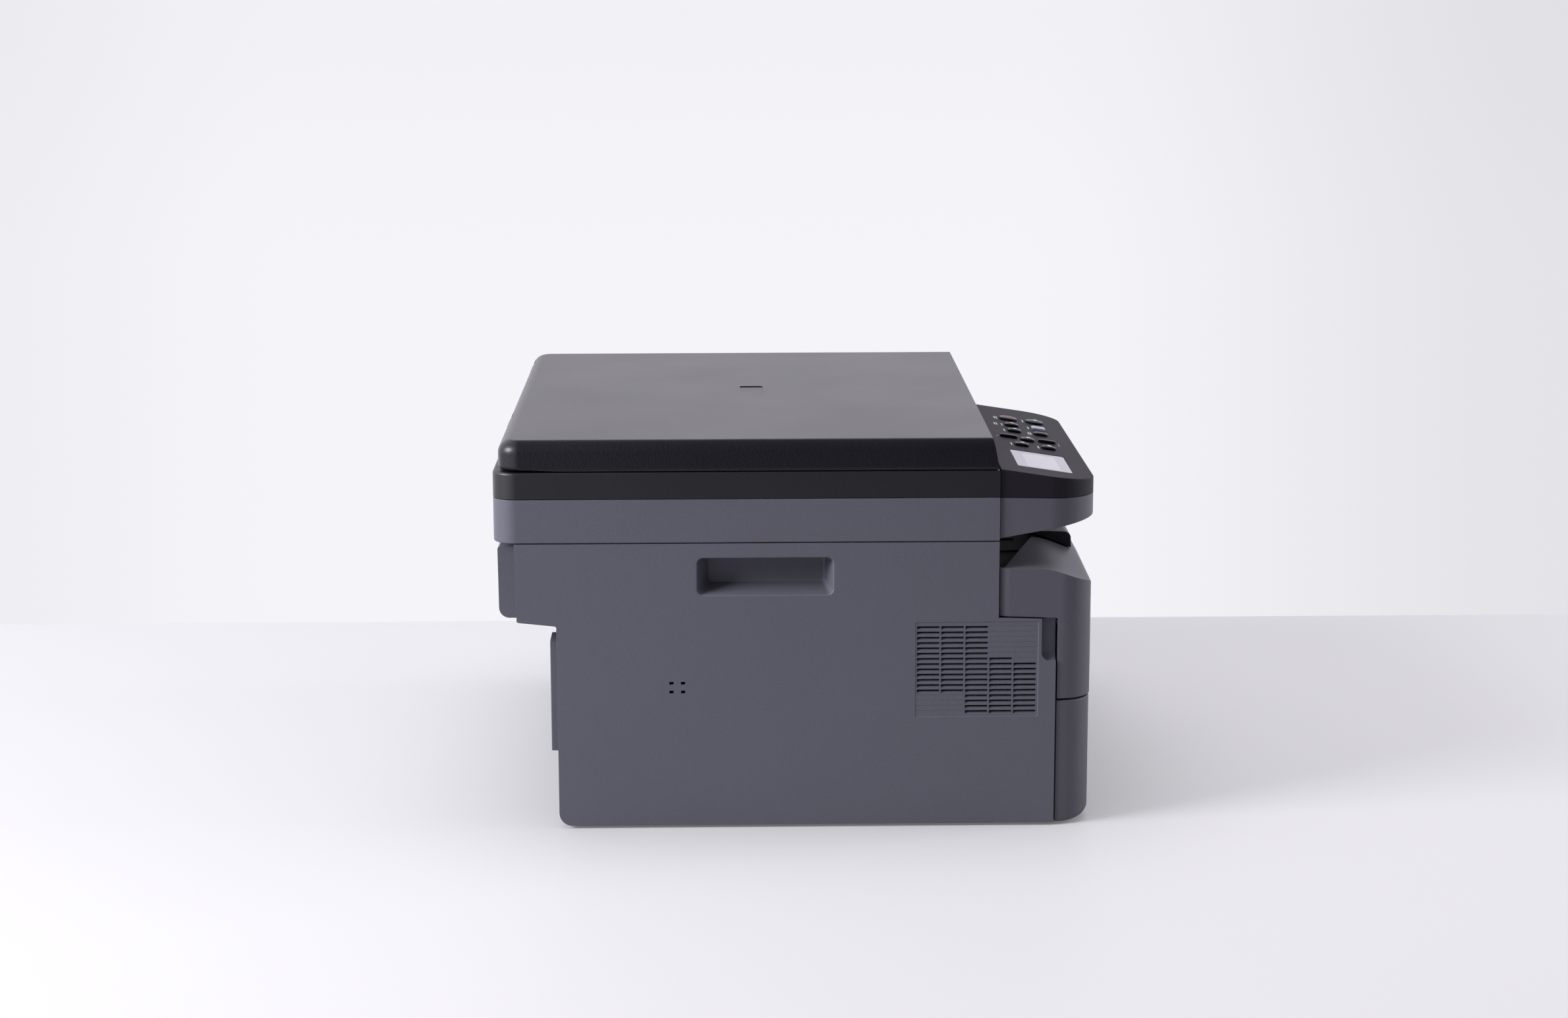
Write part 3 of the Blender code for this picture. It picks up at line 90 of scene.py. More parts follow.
LID_BOTTOM = 0.2429
LID_TOP = 0.2630
LID_HALF = 0.2046
LID_FRONT = -0.1340
LID_LEAN = 0.0036
LID_REAR = 0.1957
LID_PANEL = 0.2480
LID_AXIS_Y = 0.1928
LID_AXIS_Z = 0.2502
HINGES = {"left_lid_hinge": -0.0790, "right_lid_hinge": 0.1760}
HINGE_HALF = 0.0118

PANEL_LEFT = -0.2035
PANEL_RIGHT = 0.0685
PANEL_REAR = -0.1350
PANEL_FRONT = -0.1996
PANEL_REAR_TOP = 0.2430
PANEL_TILT = math.atan(0.1544)
PANEL_SKIN = 0.0022
PANEL_DIP = 0.0020
KEY_TOP = 0.0020
KEY_DEEP = 0.0044
DISPLAY = (-0.1468, 0.0324, 0.0620, 0.0370)
KEYS = {
    "stop_key": (0.0168, 0.0247, 0.0140, 0.0124, 0.0050),
    "menu_key": (-0.0115, 0.0247, 0.0090, 0.0096, 0.0026),
    "clear_key": (-0.0358, 0.0245, 0.0090, 0.0096, 0.0026),
    "up_key": (-0.0645, 0.0178, 0.0052, 0.0122, 0.0020),
    "ok_key": (-0.0676, 0.0309, 0.0100, 0.0094, 0.0022),
    "back_key": (-0.0922, 0.0245, 0.0090, 0.0096, 0.0026),
    "start_key": (0.0174, 0.0442, 0.0140, 0.0124, 0.0050),
    "wireless_key": (-0.0106, 0.0441, 0.0100, 0.0098, 0.0014),
    "copy_key": (-0.0350, 0.0436, 0.0090, 0.0098, 0.0026),
    "down_key": (-0.0652, 0.0449, 0.0052, 0.0122, 0.0020),
    "options_key": (-0.0908, 0.0435, 0.0090, 0.0098, 0.0026),
}

COVER_HALF = 0.2035
COVER_BOTTOM = 0.0874
COVER_STEP_FRONT = 0.1426
COVER_STEP_REAR = 0.1451
COVER_FRONT = -0.1980
COVER_REAR = -0.1352
COVER_SEAM = -0.1740
COVER_CORNER = 0.0220
COVER_CROWN = 0.0033
FLAP_HALF = 0.1100
SLOT_HALF = 0.1250
SLOT_LOW = 0.0920
SLOT_HIGH = 0.1184

CASSETTE_TOP = 0.0865
CASSETTE_BOTTOM = 0.0021
CASSETTE_FRONT = -0.1975
CASSETTE_SEAM = -0.1735

ARC = 12
PLANES = {
    "XY": Matrix.Identity(4),
    "YZ": Matrix(((0, 0, 1, 0), (1, 0, 0, 0), (0, 1, 0, 0), (0, 0, 0, 1))),
    "XZ": Matrix(((1, 0, 0, 0), (0, 0, -1, 0), (0, 1, 0, 0), (0, 0, 0, 1))),
}


# Colours and nodes


def linear(channel):
    if channel <= 0.04045:
        return channel / 12.92
    return ((channel + 0.055) / 1.055) ** 2.4


def colour(code):
    return (*[linear(int(code[i:i + 2], 16) / 255) for i in (0, 2, 4)], 1.0)


def add_node(tree, kind, settings=(), inputs=()):
    """One node with its settings; an input takes a value or another node's output."""
    node = tree.nodes.new(kind)
    for name, value in dict(settings).items():
        setattr(node, name, value)
    for key, value in dict(inputs).items():
        if isinstance(value, bpy.types.NodeSocket):
            tree.links.new(value, node.inputs[key])
        else:
            node.inputs[key].default_value = value
    return node


# Materials


def new_material(name):
    material = bpy.data.materials.new(name)
    material.use_nodes = True
    tree = material.node_tree
    return material, tree, tree.nodes["Principled BSDF"]


def moulded(name, code, rough, grain_mm, height_mm, ior=1.5, drift=0.05, dust=0.0):
    """Injection-moulded plastic from an etched tool: a fine even grain, a slow drift of
    tone over the wall, and patches that are a little glossier where the grain is shallow."""
    material, tree, shader = new_material(name)
    place = add_node(tree, "ShaderNodeTexCoord").outputs["Object"]
    grain = add_node(tree, "ShaderNodeTexNoise", {"noise_dimensions": "3D"},
                     {"Vector": place, "Scale": 1000 / grain_mm, "Detail": 2.0,
                      "Roughness": 0.55})
    cells = add_node(tree, "ShaderNodeTexVoronoi", {"feature": "SMOOTH_F1"},
                     {"Vector": place, "Scale": 1000 / (grain_mm * 1.6), "Smoothness": 0.4})
    relief = add_node(tree, "ShaderNodeMath", {"operation": "ADD"},
                      {0: grain.outputs["Fac"], 1: cells.outputs["Distance"]})
    bump = add_node(tree, "ShaderNodeBump", (),
                    {"Strength": 1.0, "Distance": height_mm / 1000,
                     "Height": relief.outputs[0]})
    tree.links.new(bump.outputs["Normal"], shader.inputs["Normal"])
    slow = add_node(tree, "ShaderNodeTexNoise", (),
                    {"Vector": place, "Scale": 1000 / 90, "Detail": 3.0})
    base = colour(code)
    low = tuple(c * (1 - drift) for c in base[:3]) + (1.0,)
    high = tuple(min(1.0, c * (1 + drift)) for c in base[:3]) + (1.0,)
    tone = add_node(tree, "ShaderNodeMix", {"data_type": "RGBA"},
                    {0: slow.outputs["Fac"], 6: low, 7: high})
    speck = add_node(tree, "ShaderNodeMapRange", (),
                     {"Value": grain.outputs["Fac"], "From Min": 0.35, "From Max": 0.75,
                      "To Min": 0.94, "To Max": 1.10})
    tint = add_node(tree, "ShaderNodeMix", {"data_type": "RGBA", "blend_type": "MULTIPLY"},
                    {0: 1.0, 6: tone.outputs[2], 7: speck.outputs[0]})
    skin = tint.outputs[2]
    if dust:
        up = add_node(tree, "ShaderNodeSeparateXYZ", (),
                      {0: add_node(tree, "ShaderNodeNewGeometry").outputs["Normal"]})
        lies = add_node(tree, "ShaderNodeMapRange", (),
                        {"Value": up.outputs["Z"], "From Min": 0.6, "From Max": 1.0,
                         "To Min": 0.0, "To Max": dust})
        skin = add_node(tree, "ShaderNodeMix", {"data_type": "RGBA"},
                        {0: lies.outputs[0], 6: skin, 7: colour("A9A7A4")}).outputs[2]
    tree.links.new(skin, shader.inputs["Base Color"])
    gloss = add_node(tree, "ShaderNodeMapRange", (),
                     {"Value": slow.outputs["Fac"], "From Min": 0.3, "From Max": 0.7,
                      "To Min": rough - 0.012, "To Max": rough + 0.012})
    tree.links.new(gloss.outputs[0], shader.inputs["Roughness"])
    shader.inputs["IOR"].default_value = ior
    return material


# Grey ABS of the body, spark-eroded tool: a matt wall with a fine even grain. The real grain
# is about 0.3 mm; it is drawn at 0.9 mm so that it shows.
BODY_ABS = moulded("moulded_abs_body_grey", "585864", 0.52, 0.9, 0.030)
# Darker ABS of the front cover and the cassette front, from the same kind of tool.
FRONT_ABS = moulded("moulded_abs_front_grey", "51505A", 0.50, 0.9, 0.030)
# Black high-impact polystyrene of the lid: deeper etched, so it sparkles at the side and
# turns to a pale sheen on top where it is seen at a low angle.
LID_HIPS = moulded("moulded_hips_lid_black", "0B0913", 0.35, 1.2, 0.045, ior=1.43, drift=0.04)
# Black rim under the lid, from a finer tool.
RIM_HIPS = moulded("moulded_hips_rim_black", "0F0F15", 0.42, 0.9, 0.025)
# Control panel top, satin black.
PANEL_ABS = moulded("moulded_abs_panel_black", "120E19", 0.60, 0.7, 0.015, ior=1.34)
# Unpainted black frame plastic, glass filled: duller and a little streaked.
INNER_PLASTIC = moulded("moulded_pc_abs_inner_black", "121214", 0.55, 1.4, 0.030, dust=0.02)
# Output tray: the same kind of frame plastic, but matt, very dark and less reflective.
TRAY_HIPS = moulded("moulded_hips_tray_black", "08080A", 0.66, 1.2, 0.030, ior=1.35)
# Key caps, polished tool.
KEY_ABS = moulded("moulded_abs_key_black", "0A0A0B", 0.34, 0.6, 0.006, ior=1.28)
STOP_ABS = moulded("moulded_abs_key_stop", "2A1218", 0.34, 0.6, 0.006, ior=1.28)
START_ABS = moulded("moulded_abs_key_start", "0E1C13", 0.34, 0.6, 0.006, ior=1.28)
# Pale pad-printing ink, laid on so thin that it is dull.
PRINT = moulded("pad_printed_ink_pale", "B9B9BF", 0.60, 0.5, 0.002)
GEAR_POM = moulded("moulded_pom_gear_white", "D8D6CF", 0.42, 1.2, 0.010, ior=1.48)
RUBBER = moulded("moulded_epdm_rubber_black", "232325", 0.80, 0.8, 0.040, ior=1.45)
SLEEVE = moulded("ptfe_roller_sleeve", "8A4A32", 0.45, 2.0, 0.008, ior=1.38)
PAD_FILM = moulded("pet_film_lid_pad_white", "E9E9E6", 0.60, 1.5, 0.020)


def glow_painted_cap():
    """Translucent polycarbonate cap over a lamp: pale lavender. The glow through it is painted into the
    base colour; nothing here emits light.
    """
    material, tree, shader = new_material("moulded_pc_key_painted_glow")
    place = add_node(tree, "ShaderNodeTexCoord").outputs["Object"]
    cloud = add_node(tree, "ShaderNodeTexNoise", (), {"Vector": place, "Scale": 400.0})
    tone = add_node(tree, "ShaderNodeMix", {"data_type": "RGBA"},
                    {0: cloud.outputs["Fac"], 6: colour("85869A"), 7: colour("8E8FA2")})
    tree.links.new(tone.outputs[2], shader.inputs["Base Color"])
    shader.inputs["Roughness"].default_value = 0.30
    shader.inputs["IOR"].default_value = 1.58
    return material


def display_pane(name, code):
    """Hard-coated acrylic over a reflective display: pale, glossy, with the faint mesh of
    the cells, 0.5 mm apart."""
    material, tree, shader = new_material(name)
    place = add_node(tree, "ShaderNodeTexCoord").outputs["Object"]
    cells = add_node(tree, "ShaderNodeTexBrick", {"offset": 0.0},
                     {"Vector": place, "Color1": colour(code), "Color2": colour(code),
                      "Mortar": tuple(c * 0.93 for c in colour(code)[:3]) + (1.0,),
                      "Scale": 1.0, "Mortar Size": 0.00006, "Brick Width": 0.0005,
                      "Row Height": 0.0005})
    tree.links.new(cells.outputs["Color"], shader.inputs["Base Color"])
    shader.inputs["Roughness"].default_value = 0.16
    shader.inputs["IOR"].default_value = 1.49
    return material


def float_glass():
    """Flat float glass: clear, with the green tinge of its edge."""
    material, tree, shader = new_material("float_glass_flatbed")
    place = add_node(tree, "ShaderNodeTexCoord").outputs["Object"]
    smear = add_node(tree, "ShaderNodeTexNoise", (), {"Vector": place, "Scale": 14.0, "Detail": 4.0})
    haze = add_node(tree, "ShaderNodeMapRange", (),
                    {"Value": smear.outputs["Fac"], "From Min": 0.4, "From Max": 0.8,
                     "To Min": 0.0, "To Max": 0.05})
    tree.links.new(haze.outputs[0], shader.inputs["Roughness"])
    shader.inputs["Base Color"].default_value = colour("E4F0EA")
    shader.inputs["Transmission Weight"].default_value = 1.0
    shader.inputs["IOR"].default_value = 1.52
    return material


def metal(name, code, rough, streak):
    """Sheet or drawn metal: streaks of gloss along the rolling direction."""
    material, tree, shader = new_material(name)
    place = add_node(tree, "ShaderNodeTexCoord").outputs["Object"]
    along = add_node(tree, "ShaderNodeMapping", (), {"Vector": place, "Scale": streak})
    lines = add_node(tree, "ShaderNodeTexNoise", (),
                     {"Vector": along.outputs["Vector"], "Scale": 1.0, "Detail": 3.0})
    gloss = add_node(tree, "ShaderNodeMapRange", (),
                     {"Value": lines.outputs["Fac"], "From Min": 0.3, "From Max": 0.7,
                      "To Min": rough - 0.06, "To Max": rough + 0.10})
    tree.links.new(gloss.outputs[0], shader.inputs["Roughness"])
    bump = add_node(tree, "ShaderNodeBump", (),
                    {"Strength": 1.0, "Distance": 0.000008, "Height": lines.outputs["Fac"]})
    tree.links.new(bump.outputs["Normal"], shader.inputs["Normal"])
    shader.inputs["Base Color"].default_value = colour(code)
    shader.inputs["Metallic"].default_value = 1.0
    return material


ZINC_STEEL = metal("zinc_plated_steel", "A5A7AA", 0.34, (40, 1200, 1200))
# Pale cap of the wireless key: the glow of its lamp is painted into the colour.
GLOW_PAINTED_CAP = glow_painted_cap()
PANE_EDGE = display_pane("hard_coated_pmma_display_border", "757380")
PANE_INNER = display_pane("hard_coated_pmma_display", "94929B")
GLASS = float_glass()


def circuit_board():
    """Fibreglass board under green solder mask: fine tracks run under the lacquer."""
    material, tree, shader = new_material("fr4_board_green")
    place = add_node(tree, "ShaderNodeTexCoord").outputs["Object"]
    tracks = add_node(tree, "ShaderNodeTexBrick", {"offset": 0.35},
                      {"Vector": place, "Color1": colour("2F5A3C"), "Color2": colour("28513A"),
                       "Mortar": colour("4C8257"), "Scale": 1.0, "Mortar Size": 0.00035,
                       "Brick Width": 0.0130, "Row Height": 0.0031})
    tree.links.new(tracks.outputs["Color"], shader.inputs["Base Color"])
    shader.inputs["Roughness"].default_value = 0.38
    shader.inputs["IOR"].default_value = 1.55
    return material


BOARD = circuit_board()


def drum_coating():
    """Organic photoconductor on an aluminium tube: glossy teal with a slow change of tint."""
    material, tree, shader = new_material("photoconductor_coating_teal")
    place = add_node(tree, "ShaderNodeTexCoord").outputs["Object"]
    bands = add_node(tree, "ShaderNodeTexNoise", (), {"Vector": place, "Scale": 18.0})
    tone = add_node(tree, "ShaderNodeMix", {"data_type": "RGBA"},
                    {0: bands.outputs["Fac"], 6: colour("357270"), 7: colour("44837F")})
    tree.links.new(tone.outputs[2], shader.inputs["Base Color"])
    shader.inputs["Roughness"].default_value = 0.16
    shader.inputs["IOR"].default_value = 1.6
    return material


DRUM = drum_coating()


# Shape tools


def add_solid(name, bm):
    bmesh.ops.recalc_face_normals(bm, faces=bm.faces)
    mesh = bpy.data.meshes.new(name)
    bm.to_mesh(mesh)
    bm.free()
    obj = bpy.data.objects.new(name, mesh)
    bpy.context.scene.collection.objects.link(obj)
    return obj


def add_cube(bm, x, y, z):
    size = (x[1] - x[0], y[1] - y[0], z[1] - z[0])
    middle = (sum(x) / 2, sum(y) / 2, sum(z) / 2)
    place = Matrix.Translation(middle) @ Matrix.Diagonal((*size, 1.0))
    bmesh.ops.create_cube(bm, size=1.0, matrix=place)


def boxes(name, ranges):
    bm = bmesh.new()
    for x, y, z in ranges:
        add_cube(bm, x, y, z)
    return add_solid(name, bm)


def box(name, x, y, z):
    return boxes(name, [(x, y, z)])


def rod(name, radius, start, length, axis="X", sides=48):
    turn = {"X": Matrix.Rotation(math.pi / 2, 4, "Y"),
            "Y": Matrix.Rotation(-math.pi / 2, 4, "X"),
            "Z": Matrix.Identity(4)}[axis]
    place = Matrix.Translation(start) @ turn @ Matrix.Translation((0, 0, length / 2))
    bm = bmesh.new()
    bmesh.ops.create_cone(bm, cap_ends=True, segments=sides, radius1=radius,
                          radius2=radius, depth=length, matrix=place)
    return add_solid(name, bm)


def rounded(corners, steps=ARC):
    """Outline through (u, v, radius) corners, each radius turned into an arc."""
    outline = []
    count = len(corners)
    for index, (u, v, radius) in enumerate(corners):
        here = Vector((u, v))
        if radius == 0:
            outline.append((u, v))
            continue
        back = (Vector(corners[index - 1][:2]) - here).normalized()
        ahead = (Vector(corners[(index + 1) % count][:2]) - here).normalized()
        half = back.angle(ahead) / 2
        middle = here + (back + ahead).normalized() * radius / math.sin(half)
        first = here + back * radius / math.tan(half) - middle
        last = here + ahead * radius / math.tan(half) - middle
        start = math.atan2(first.y, first.x)
        sweep = math.atan2(last.y, last.x) - start
        sweep = (sweep + math.pi) % (2 * math.pi) - math.pi
        for step in range(steps + 1):
            angle = start + sweep * step / steps
            outline.append((middle.x + radius * math.cos(angle),
                            middle.y + radius * math.sin(angle)))
    return outline


def rectangle(u, v, radius=0.0, steps=ARC):
    corners = [(u[0], v[0], radius), (u[1], v[0], radius),
               (u[1], v[1], radius), (u[0], v[1], radius)]
    return rounded(corners, steps)


def inset(corners, distance):
    """The same corner list moved inward by a distance."""
    area = sum(a[0] * b[1] - b[0] * a[1]
               for a, b in zip(corners, corners[1:] + corners[:1]))
    side = 1.0 if area > 0 else -1.0
    moved = []
    count = len(corners)
    for index, (u, v, radius) in enumerate(corners):
        here = Vector((u, v))
        before = (here - Vector(corners[index - 1][:2])).normalized()
        after = (Vector(corners[(index + 1) % count][:2]) - here).normalized()
        normal_a = Vector((-before.y, before.x)) * side
        normal_b = Vector((-after.y, after.x)) * side
        bisector = (normal_a + normal_b).normalized()
        reach = distance / bisector.dot(normal_a)
        moved.append((u + bisector.x * reach, v + bisector.y * reach,
                      max(0.0, radius - distance)))
    return moved


def plate(name, loops, plane, low, high):
    """Flat outline, with further loops as holes, given thickness."""
    curve = bpy.data.curves.new(name, "CURVE")
    curve.dimensions = "2D"
    curve.fill_mode = "BOTH"
    curve.extrude = (high - low) / 2
    for loop in loops:
        spline = curve.splines.new("POLY")
        spline.points.add(len(loop) - 1)
        for point, (u, v) in zip(spline.points, loop):
            point.co = (u, v, 0.0, 1.0)
        spline.use_cyclic_u = True
    drawing = bpy.data.objects.new(name, curve)
    bpy.context.scene.collection.objects.link(drawing)
    bpy.context.view_layer.update()
    graph = bpy.context.evaluated_depsgraph_get()
    mesh = bpy.data.meshes.new_from_object(drawing.evaluated_get(graph))
    bpy.data.objects.remove(drawing, do_unlink=True)
    middle = (low + high) / 2
    lift = Matrix.Translation((0, 0, -middle if plane == "XZ" else middle))
    mesh.transform(PLANES[plane] @ lift)
    bm = bmesh.new()
    bm.from_mesh(mesh)
    bmesh.ops.remove_doubles(bm, verts=bm.verts, dist=0.000005)
    bmesh.ops.dissolve_limit(bm, angle_limit=0.0005, verts=bm.verts, edges=bm.edges)
    bpy.data.meshes.remove(mesh)
    return add_solid(name, bm)


def loft(name, sections):
    """Skin over sections with equal numbers of (x, y, z) points, closed at both ends."""
    bm = bmesh.new()
    rings = [[bm.verts.new(point) for point in section] for section in sections]
    count = len(rings[0])
    for ring, following in zip(rings, rings[1:]):
        for index in range(count):
            after = (index + 1) % count
            bm.faces.new((ring[index], ring[after], following[after], following[index]))
    bm.faces.new(rings[0])
    bm.faces.new(rings[-1])
    return add_solid(name, bm)


def worked(obj):
    """Turn the piece's modifiers into plain mesh."""
    bpy.context.view_layer.update()
    graph = bpy.context.evaluated_depsgraph_get()
    mesh = bpy.data.meshes.new_from_object(obj.evaluated_get(graph))
    obj.modifiers.clear()
    obj.data = mesh
    return obj


def combine(obj, tools, operation):
    for tool in tools:
        boolean = obj.modifiers.new(tool.name, "BOOLEAN")
        boolean.operation = operation
        boolean.solver = "EXACT"
        boolean.object = tool
    worked(obj)
    for tool in tools:
        bpy.data.objects.remove(tool, do_unlink=True)
    return obj


def cut(obj, *tools):
    return combine(obj, tools, "DIFFERENCE")


def fuse(obj, *tools):
    return combine(obj, tools, "UNION")


def keep_inside(obj, tool):
    return combine(obj, [tool], "INTERSECT")


def round_edges(obj, width, segments, weigh):
    """Round the edges that weigh(a, b) gives a share of the full width."""
    mesh = obj.data
    weights = mesh.attributes.new("bevel_weight_edge", "FLOAT", "EDGE")
    for edge in mesh.edges:
        a, b = (mesh.vertices[i].co for i in edge.vertices)
        weights.data[edge.index].value = weigh(a, b)
    bevel = obj.modifiers.new("edges", "BEVEL")
    bevel.limit_method = "WEIGHT"
    bevel.width = width
    bevel.segments = segments
    return worked(obj)


def soften(obj, width, segments=4, angle=40):
    """Round every edge that is sharper than an angle."""
    bevel = obj.modifiers.new("soften", "BEVEL")
    bevel.limit_method = "ANGLE"
    bevel.angle_limit = math.radians(angle)
    bevel.width = width
    bevel.segments = segments
    bevel.use_clamp_overlap = True
    return worked(obj)


def finished(obj, body, slot, material, nodes=(), angle=32):
    """Weld, shade and hand a piece to the body that carries it."""
    mesh = obj.data
    bm = bmesh.new()
    bm.from_mesh(mesh)
    bmesh.ops.remove_doubles(bm, verts=bm.verts, dist=0.000002)
    bmesh.ops.dissolve_degenerate(bm, edges=bm.edges, dist=0.000002)
    bm.to_mesh(mesh)
    bm.free()
    for name in ("bevel_weight_edge",):
        if name in mesh.attributes:
            mesh.attributes.remove(mesh.attributes[name])
    mesh.shade_smooth()
    mesh.set_sharp_from_angle(angle=math.radians(angle))
    normals = obj.modifiers.new("normals", "WEIGHTED_NORMAL")
    normals.mode = "FACE_AREA"
    normals.weight = 80
    normals.keep_sharp = True
    worked(obj)
    obj.data.materials.clear()
    obj.data.materials.append(material)
    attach(obj, body)
    if nodes:
        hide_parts(*nodes)
    return obj


# Repeats


def repeat_tree():
    """Copies of one shape from a start point, each a step and a turn further on."""
    tree = bpy.data.node_groups.new("repeat", "GeometryNodeTree")
    face = tree.interface
    face.new_socket("Geometry", in_out="OUTPUT", socket_type="NodeSocketGeometry")
    face.new_socket("Geometry", in_out="INPUT", socket_type="NodeSocketGeometry")
    face.new_socket("Shape", in_out="INPUT", socket_type="NodeSocketObject")
    face.new_socket("Count", in_out="INPUT", socket_type="NodeSocketInt")
    face.new_socket("Start", in_out="INPUT", socket_type="NodeSocketVector")
    face.new_socket("Step", in_out="INPUT", socket_type="NodeSocketVector")
    face.new_socket("Turn", in_out="INPUT", socket_type="NodeSocketVector")
    face.new_socket("Material", in_out="INPUT", socket_type="NodeSocketMaterial")
    given = add_node(tree, "NodeGroupInput").outputs
    line = add_node(tree, "GeometryNodeMeshLine", {"mode": "OFFSET"},
                    {"Count": given["Count"], "Start Location": given["Start"],
                     "Offset": given["Step"]})
    shape = add_node(tree, "GeometryNodeObjectInfo", (), {"Object": given["Shape"]})
    number = add_node(tree, "GeometryNodeInputIndex")
    turn = add_node(tree, "ShaderNodeVectorMath", {"operation": "SCALE"},
                    {0: given["Turn"], "Scale": number.outputs[0]})
    copies = add_node(tree, "GeometryNodeInstanceOnPoints", (),
                      {"Points": line.outputs["Mesh"], "Instance": shape.outputs["Geometry"],
                       "Rotation": turn.outputs[0]})
    real = add_node(tree, "GeometryNodeRealizeInstances", (),
                    {"Geometry": copies.outputs["Instances"]})
    coat = add_node(tree, "GeometryNodeSetMaterial", (),
                    {"Geometry": real.outputs["Geometry"], "Material": given["Material"]})
    add_node(tree, "NodeGroupOutput", (), {"Geometry": coat.outputs["Geometry"]})
    return tree


REPEAT = repeat_tree()


def grown(name, tree, given):
    """Mesh made by a node tree from its named inputs."""
    holder = bpy.data.objects.new(name, bpy.data.meshes.new(name))
    bpy.context.scene.collection.objects.link(holder)
    modifier = holder.modifiers.new(tree.name, "NODES")
    modifier.node_group = tree
    for item in tree.interface.items_tree:
        if item.in_out == "INPUT" and item.name in given:
            modifier[item.identifier] = given[item.name]
    holder.update_tag()
    return worked(holder)


def repeated(name, shape, runs, material=None, turn=(0.0, 0.0, 0.0)):
    """One mesh of copies of a shape along (count, start, step) runs."""
    bm = bmesh.new()
    for count, start, step in runs:
        copies = grown(name, REPEAT, {"Shape": shape, "Count": count, "Start": start,
                                      "Step": step, "Turn": turn, "Material": material})
        bm.from_mesh(copies.data)
        bpy.data.objects.remove(copies, do_unlink=True)
    bpy.data.objects.remove(shape, do_unlink=True)
    return add_solid(name, bm)


# Side covers


def side_corners():
    """Outline of a side cover in (y, z, radius), from its top front corner round the rear."""
    return [
        (UPPER_FRONT + SEAM, BODY_TOP, 0.0),
        (UPPER_FRONT + SEAM, NOTCH_TOP - SEAM, 0.0),
        (BODY_FRONT, NOTCH_FRONT - SEAM, 0.0014),
        (BODY_FRONT, BODY_BOTTOM, 0.0),
        (BODY_REAR, BODY_BOTTOM, 0.0090),
        (BODY_REAR, STEP_LOW, 0.0015),
        (UPPER_REAR - 0.0010, STEP_HIGH, 0.0012),
        (UPPER_REAR, BODY_TOP, 0.0),
    ]


def flare(depth, radius):
    """How much wider a rounded mouth is at a depth below the surface."""
    if depth >= radius:
        return 0.0
    return radius - math.sqrt(max(0.0, radius ** 2 - (radius - depth) ** 2))


def handle_pocket(name, side):
    """Carrying handle: a drafted pocket with a rolled rim and a floor that slopes inwards."""
    rim = 0.0011
    sections = []
    for depth in [-0.0012] + [rim * (i / 8) ** 1.6 for i in range(9)]:
        wider = flare(max(depth, 0.0), rim)
        y = (-0.0246 - wider, 0.0649 + wider)
        z = (0.1598 - wider, 0.1846 + wider * 0.6)
        sections.append([(side * (HALF_WIDTH - depth), u, v)
                         for u, v in rectangle(y, z, 0.0038 + wider)])
    for x, y, z, radius in ((0.1904, (-0.0206, 0.0590), (0.1640, 0.1842), 0.0030),
                            (0.1882, (-0.0196, 0.0580), (0.1652, 0.1834), 0.0026),
                            (0.1874, (-0.0180, 0.0564), (0.1670, 0.1822), 0.0020)):
        sections.append([(side * x, u, v) for u, v in rectangle(y, z, radius)])
    return loft(name, sections)


GRILLE_REAR = -0.0804
GRILLE_TOP = 0.1376
PITCH_Y = 0.01607
PITCH_Z = 0.0036
LOUVRE_WIDTH = 0.0149
FIELD_DEPTH = 0.0003
SEAM = 0.0003


def louvre(side):
    """One slot of the grille: the mouth's lower lip ramps up inwards to a narrower slit."""
    rows = []
    for x, low, high, grow in ((0.2062, -0.0026, 0.0002, 0.00015), (0.2046, -0.0025, 0.0000, 0.0),
                               (0.2034, -0.0013, 0.0000, 0.0), (0.2015, -0.0009, 0.0004, 0.0)):
        rows.append([(side * x, -LOUVRE_WIDTH - grow, low), (side * x, grow, low),
                     (side * x, grow, high), (side * x, -LOUVRE_WIDTH - grow, high)])
    return loft("louvre", rows)


def grille_slots(name, side, columns):
    """Louvres in (first row, last row) columns from the rear."""
    runs = []
    for column, (first, last) in enumerate(columns):
        runs.append((last - first + 1,
                     (0.0, GRILLE_REAR - column * PITCH_Y, GRILLE_TOP - (first - 1) * PITCH_Z),
                     (0.0, 0.0, -PITCH_Z)))
    return repeated(name, louvre(side), runs)


def grille_grooves(name, side, columns):
    """Faint steps that carry the louvres' lines over the closed places of the field."""
    surface = HALF_WIDTH - FIELD_DEPTH
    rows = []
    for x, low in ((0.2060, -0.0012), (surface, -0.0012), (surface - 0.00014, 0.0)):
        rows.append([(side * x, -LOUVRE_WIDTH - 0.0002, low), (side * x, 0.0002, low),
                     (side * x, 0.0002, 0.0001), (side * x, -LOUVRE_WIDTH - 0.0002, 0.0001)])
    groove = loft("groove", rows)
    runs = []
    for column, (first, last) in enumerate(columns):
        y = GRILLE_REAR - column * PITCH_Y
        if first > 1:
            runs.append((first - 1, (0.0, y, GRILLE_TOP), (0.0, 0.0, -PITCH_Z)))
        if last < 17:
            runs.append((17 - last, (0.0, y, GRILLE_TOP - last * PITCH_Z), (0.0, 0.0, -PITCH_Z)))
    return repeated(name, groove, runs)


def grille_field(name, side):
    """Shallow sunk field with drafted walls round the louvres."""
    rear, front = GRILLE_REAR, GRILLE_REAR - 4 * PITCH_Y - LOUVRE_WIDTH
    top, bottom = GRILLE_TOP, GRILLE_TOP - 16 * PITCH_Z - 0.0025
    sections = []
    for depth, spread in ((-0.0010, 0.0004), (0.0, 0.0004), (FIELD_DEPTH, 0.0)):
        y = (front - 0.0012 - spread, rear + 0.0008 + spread)
        z = (bottom - 0.0016 - spread, top + 0.0026 + spread)
        sections.append([(side * (HALF_WIDTH - depth), u, v)
                         for u, v in rectangle(y, z, 0.0008 + spread, 6)])
    return loft(name, sections)


